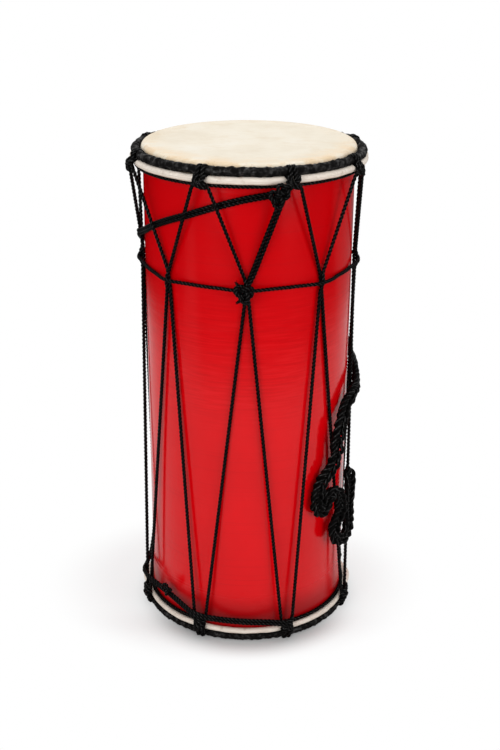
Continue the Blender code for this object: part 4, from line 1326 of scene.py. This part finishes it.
FLOOR_REACH = 12.0
SHADE_AHEAD = 0.008         # how far in front of the axis the shade under the drum has its middle
SHADE = (0.108, 0.142)      # distances from there over which the shade ends
SHADE_GREY = (0.55, 0.88)   # how light the floor's paper is painted in the shade under the drum and outside it: painted shadow
# Soft shade round the drum: its middle, weight of the sideways distance, where it ends and begins
VEIL_MIDDLE = (-0.014, 0.010)
VEIL_SIDEWAYS = 0.56
VEIL_ENDS = (0.098, 0.168)
VEIL_BEGINS = (0.110, 0.140)
VEIL_DEPTH = 0.74
# Plain white in the shade: its share at the front, how much more at the back, places along y between them
SHADE_WHITE = (0.1, 0.45)
SHADE_LIFTS = (-0.1, -0.045)
# Lit sheet that the lacquer mirrors: distances over which it ends, how much further off that is behind the
# drum, and places along y over which it grows further
SHEET_ENDS = (0.62, 1.06)
SHEET_FURTHER = 0.2
SHEET_BACK = (-0.45, 0.0)
# Brighter strip on its left: direction across the strip, how far from its middle it ends, where it begins
STRIP_ACROSS = (0.454, -0.891)
STRIP_ENDS = (0.10, 0.26)
STRIP_BEGINS = (0.2, 0.4)
STRIP_GAIN = 0.3
# Brighter places behind the drum on its right, which the shell's right edge mirrors: along y, then along x
NEAR_RIGHT = ((0.25, 0.45), (0.02, 0.1))
NEAR_RIGHT_SLANT = 0.3
NEAR_RIGHT_ENDS = (0.04, 0.16)
NEAR_RIGHT_GAIN = 0.4
FAR_RIGHT = ((0.3, 0.6), (0.05, 0.2))
FAR_RIGHT_ENDS = (1.9, 2.6)
FAR_RIGHT_GAIN = 0.3


def ray(finish, kind):
    return finish.node("ShaderNodeLightPath", {}, {}, f"Is {kind} Ray")


def mirrored_sheet(finish, x, y):
    """How much of the floor's light a glossy piece mirrors, from 0 to 1."""
    radius = span(x, y) - SHEET_FURTHER * finish.between(y, *SHEET_BACK)
    beside = ((STRIP_ACROSS[0] * x + STRIP_ACROSS[1] * y) ** 2.0) ** 0.5
    strip = (1.0 - finish.between(beside, *STRIP_ENDS)) * finish.between(0.0 - x, *STRIP_BEGINS)
    near_right, far_right = (finish.between(y, *along_y) * finish.between(x, *along_x)
                             for along_y, along_x in (NEAR_RIGHT, FAR_RIGHT))
    near_right = near_right * (1.0 - finish.between(x - NEAR_RIGHT_SLANT * y, *NEAR_RIGHT_ENDS))
    far_right = far_right * (1.0 - finish.between(radius, *FAR_RIGHT_ENDS))
    sheet = 1.0 - finish.between(radius, *SHEET_ENDS) + STRIP_GAIN * strip
    return (sheet + NEAR_RIGHT_GAIN * near_right + FAR_RIGHT_GAIN * far_right).clamped()


def build_floor():
    mesh = bpy.data.meshes.new("floor")
    corners = ((-1, -1), (1, -1), (1, 1), (-1, 1))
    mesh.from_pydata([(FLOOR_REACH * x, FLOOR_REACH * y, 0) for x, y in corners], [], [(0, 1, 2, 3)])
    finish = Finish("pale_floor")
    x, y, _ = finish.axes(finish.spot())
    distance = span(x, y + SHADE_AHEAD)
    away = finish.between(distance, *SHADE)
    left, behind = x - VEIL_MIDDLE[0], y - VEIL_MIDDLE[1]
    veil = 1.0 - finish.between((VEIL_SIDEWAYS * left * left + behind * behind) ** 0.5, *VEIL_ENDS)
    veil = veil * finish.between(distance, *VEIL_BEGINS)
    seen = (ray(finish, "Camera") + ray(finish, "Transmission")).clamped()
    shade = finish.ramp(away, [(stop, (grey, grey, grey)) for stop, grey in enumerate(SHADE_GREY)])
    paper = finish.node("ShaderNodeBsdfDiffuse", {}, {"Color": shade})
    glow = finish.node("ShaderNodeEmission", {}, {"Color": (1.0, 1.0, 1.0), "Strength": 1.0})
    # black that mirrored rays see beyond the lit sheet: painted dark reflection
    dim = finish.node("ShaderNodeEmission", {}, {"Color": (0.0, 0.0, 0.0), "Strength": 1.0})

    def blend(share, first, second):
        return finish.node("ShaderNodeMixShader", {}, {0: share, 1: first, 2: second})

    white = SHADE_WHITE[0] + SHADE_WHITE[1] * finish.between(y, *SHADE_LIFTS)
    under = blend(seen * white, paper, glow)
    around = blend(seen * away * (1.0 - VEIL_DEPTH * veil), under, glow)
    sheet = blend(mirrored_sheet(finish, x, y), dim, around)
    finish.give(finish.tree.nodes["Material Output"].inputs["Surface"],
                blend(ray(finish, "Glossy"), around, sheet))
    mesh.materials.append(finish.owner)
    floor = bpy.data.objects.new("floor", mesh)
    bpy.context.scene.collection.objects.link(floor)


ALL_ROUND = 0.55            # light from all round, where 1 is the white that is seen


def build_world():
    world = bpy.data.worlds.new("studio")
    bpy.context.scene.world = world
    finish = Finish("studio", world)
    seen = (ray(finish, "Camera") + ray(finish, "Glossy") + ray(finish, "Transmission")).clamped()
    back = finish.tree.nodes["Background"]
    finish.give(back.inputs["Color"], (1.0, 1.0, 1.0))
    finish.give(back.inputs["Strength"], ALL_ROUND + (1.0 - ALL_ROUND) * seen)


def soft_box(name, place_at, aim, size, power):
    data = bpy.data.lights.new(name, "AREA")
    data.shape = "RECTANGLE"
    data.size, data.size_y = size
    data.energy = power
    lamp = bpy.data.objects.new(name, data)
    lamp.location = place_at
    lamp.rotation_euler = (Vector(aim) - Vector(place_at)).to_track_quat("-Z", "Y").to_euler()
    bpy.context.scene.collection.objects.link(lamp)


build_floor()
build_world()
soft_box("key_box", (-1.0, -1.6, 0.8), (0, 0, 0.15), (0.9, 1.0), 12.0)
soft_box("fill_box", (1.3, -1.3, 0.7), (0, 0, 0.15), (0.8, 1.0), 8.5)
soft_box("top_box", (0.0, 0.3, 1.9), (0, 0, 0.4), (1.2, 1.2), 9.0)
bpy.context.scene.view_settings.view_transform = "Standard"
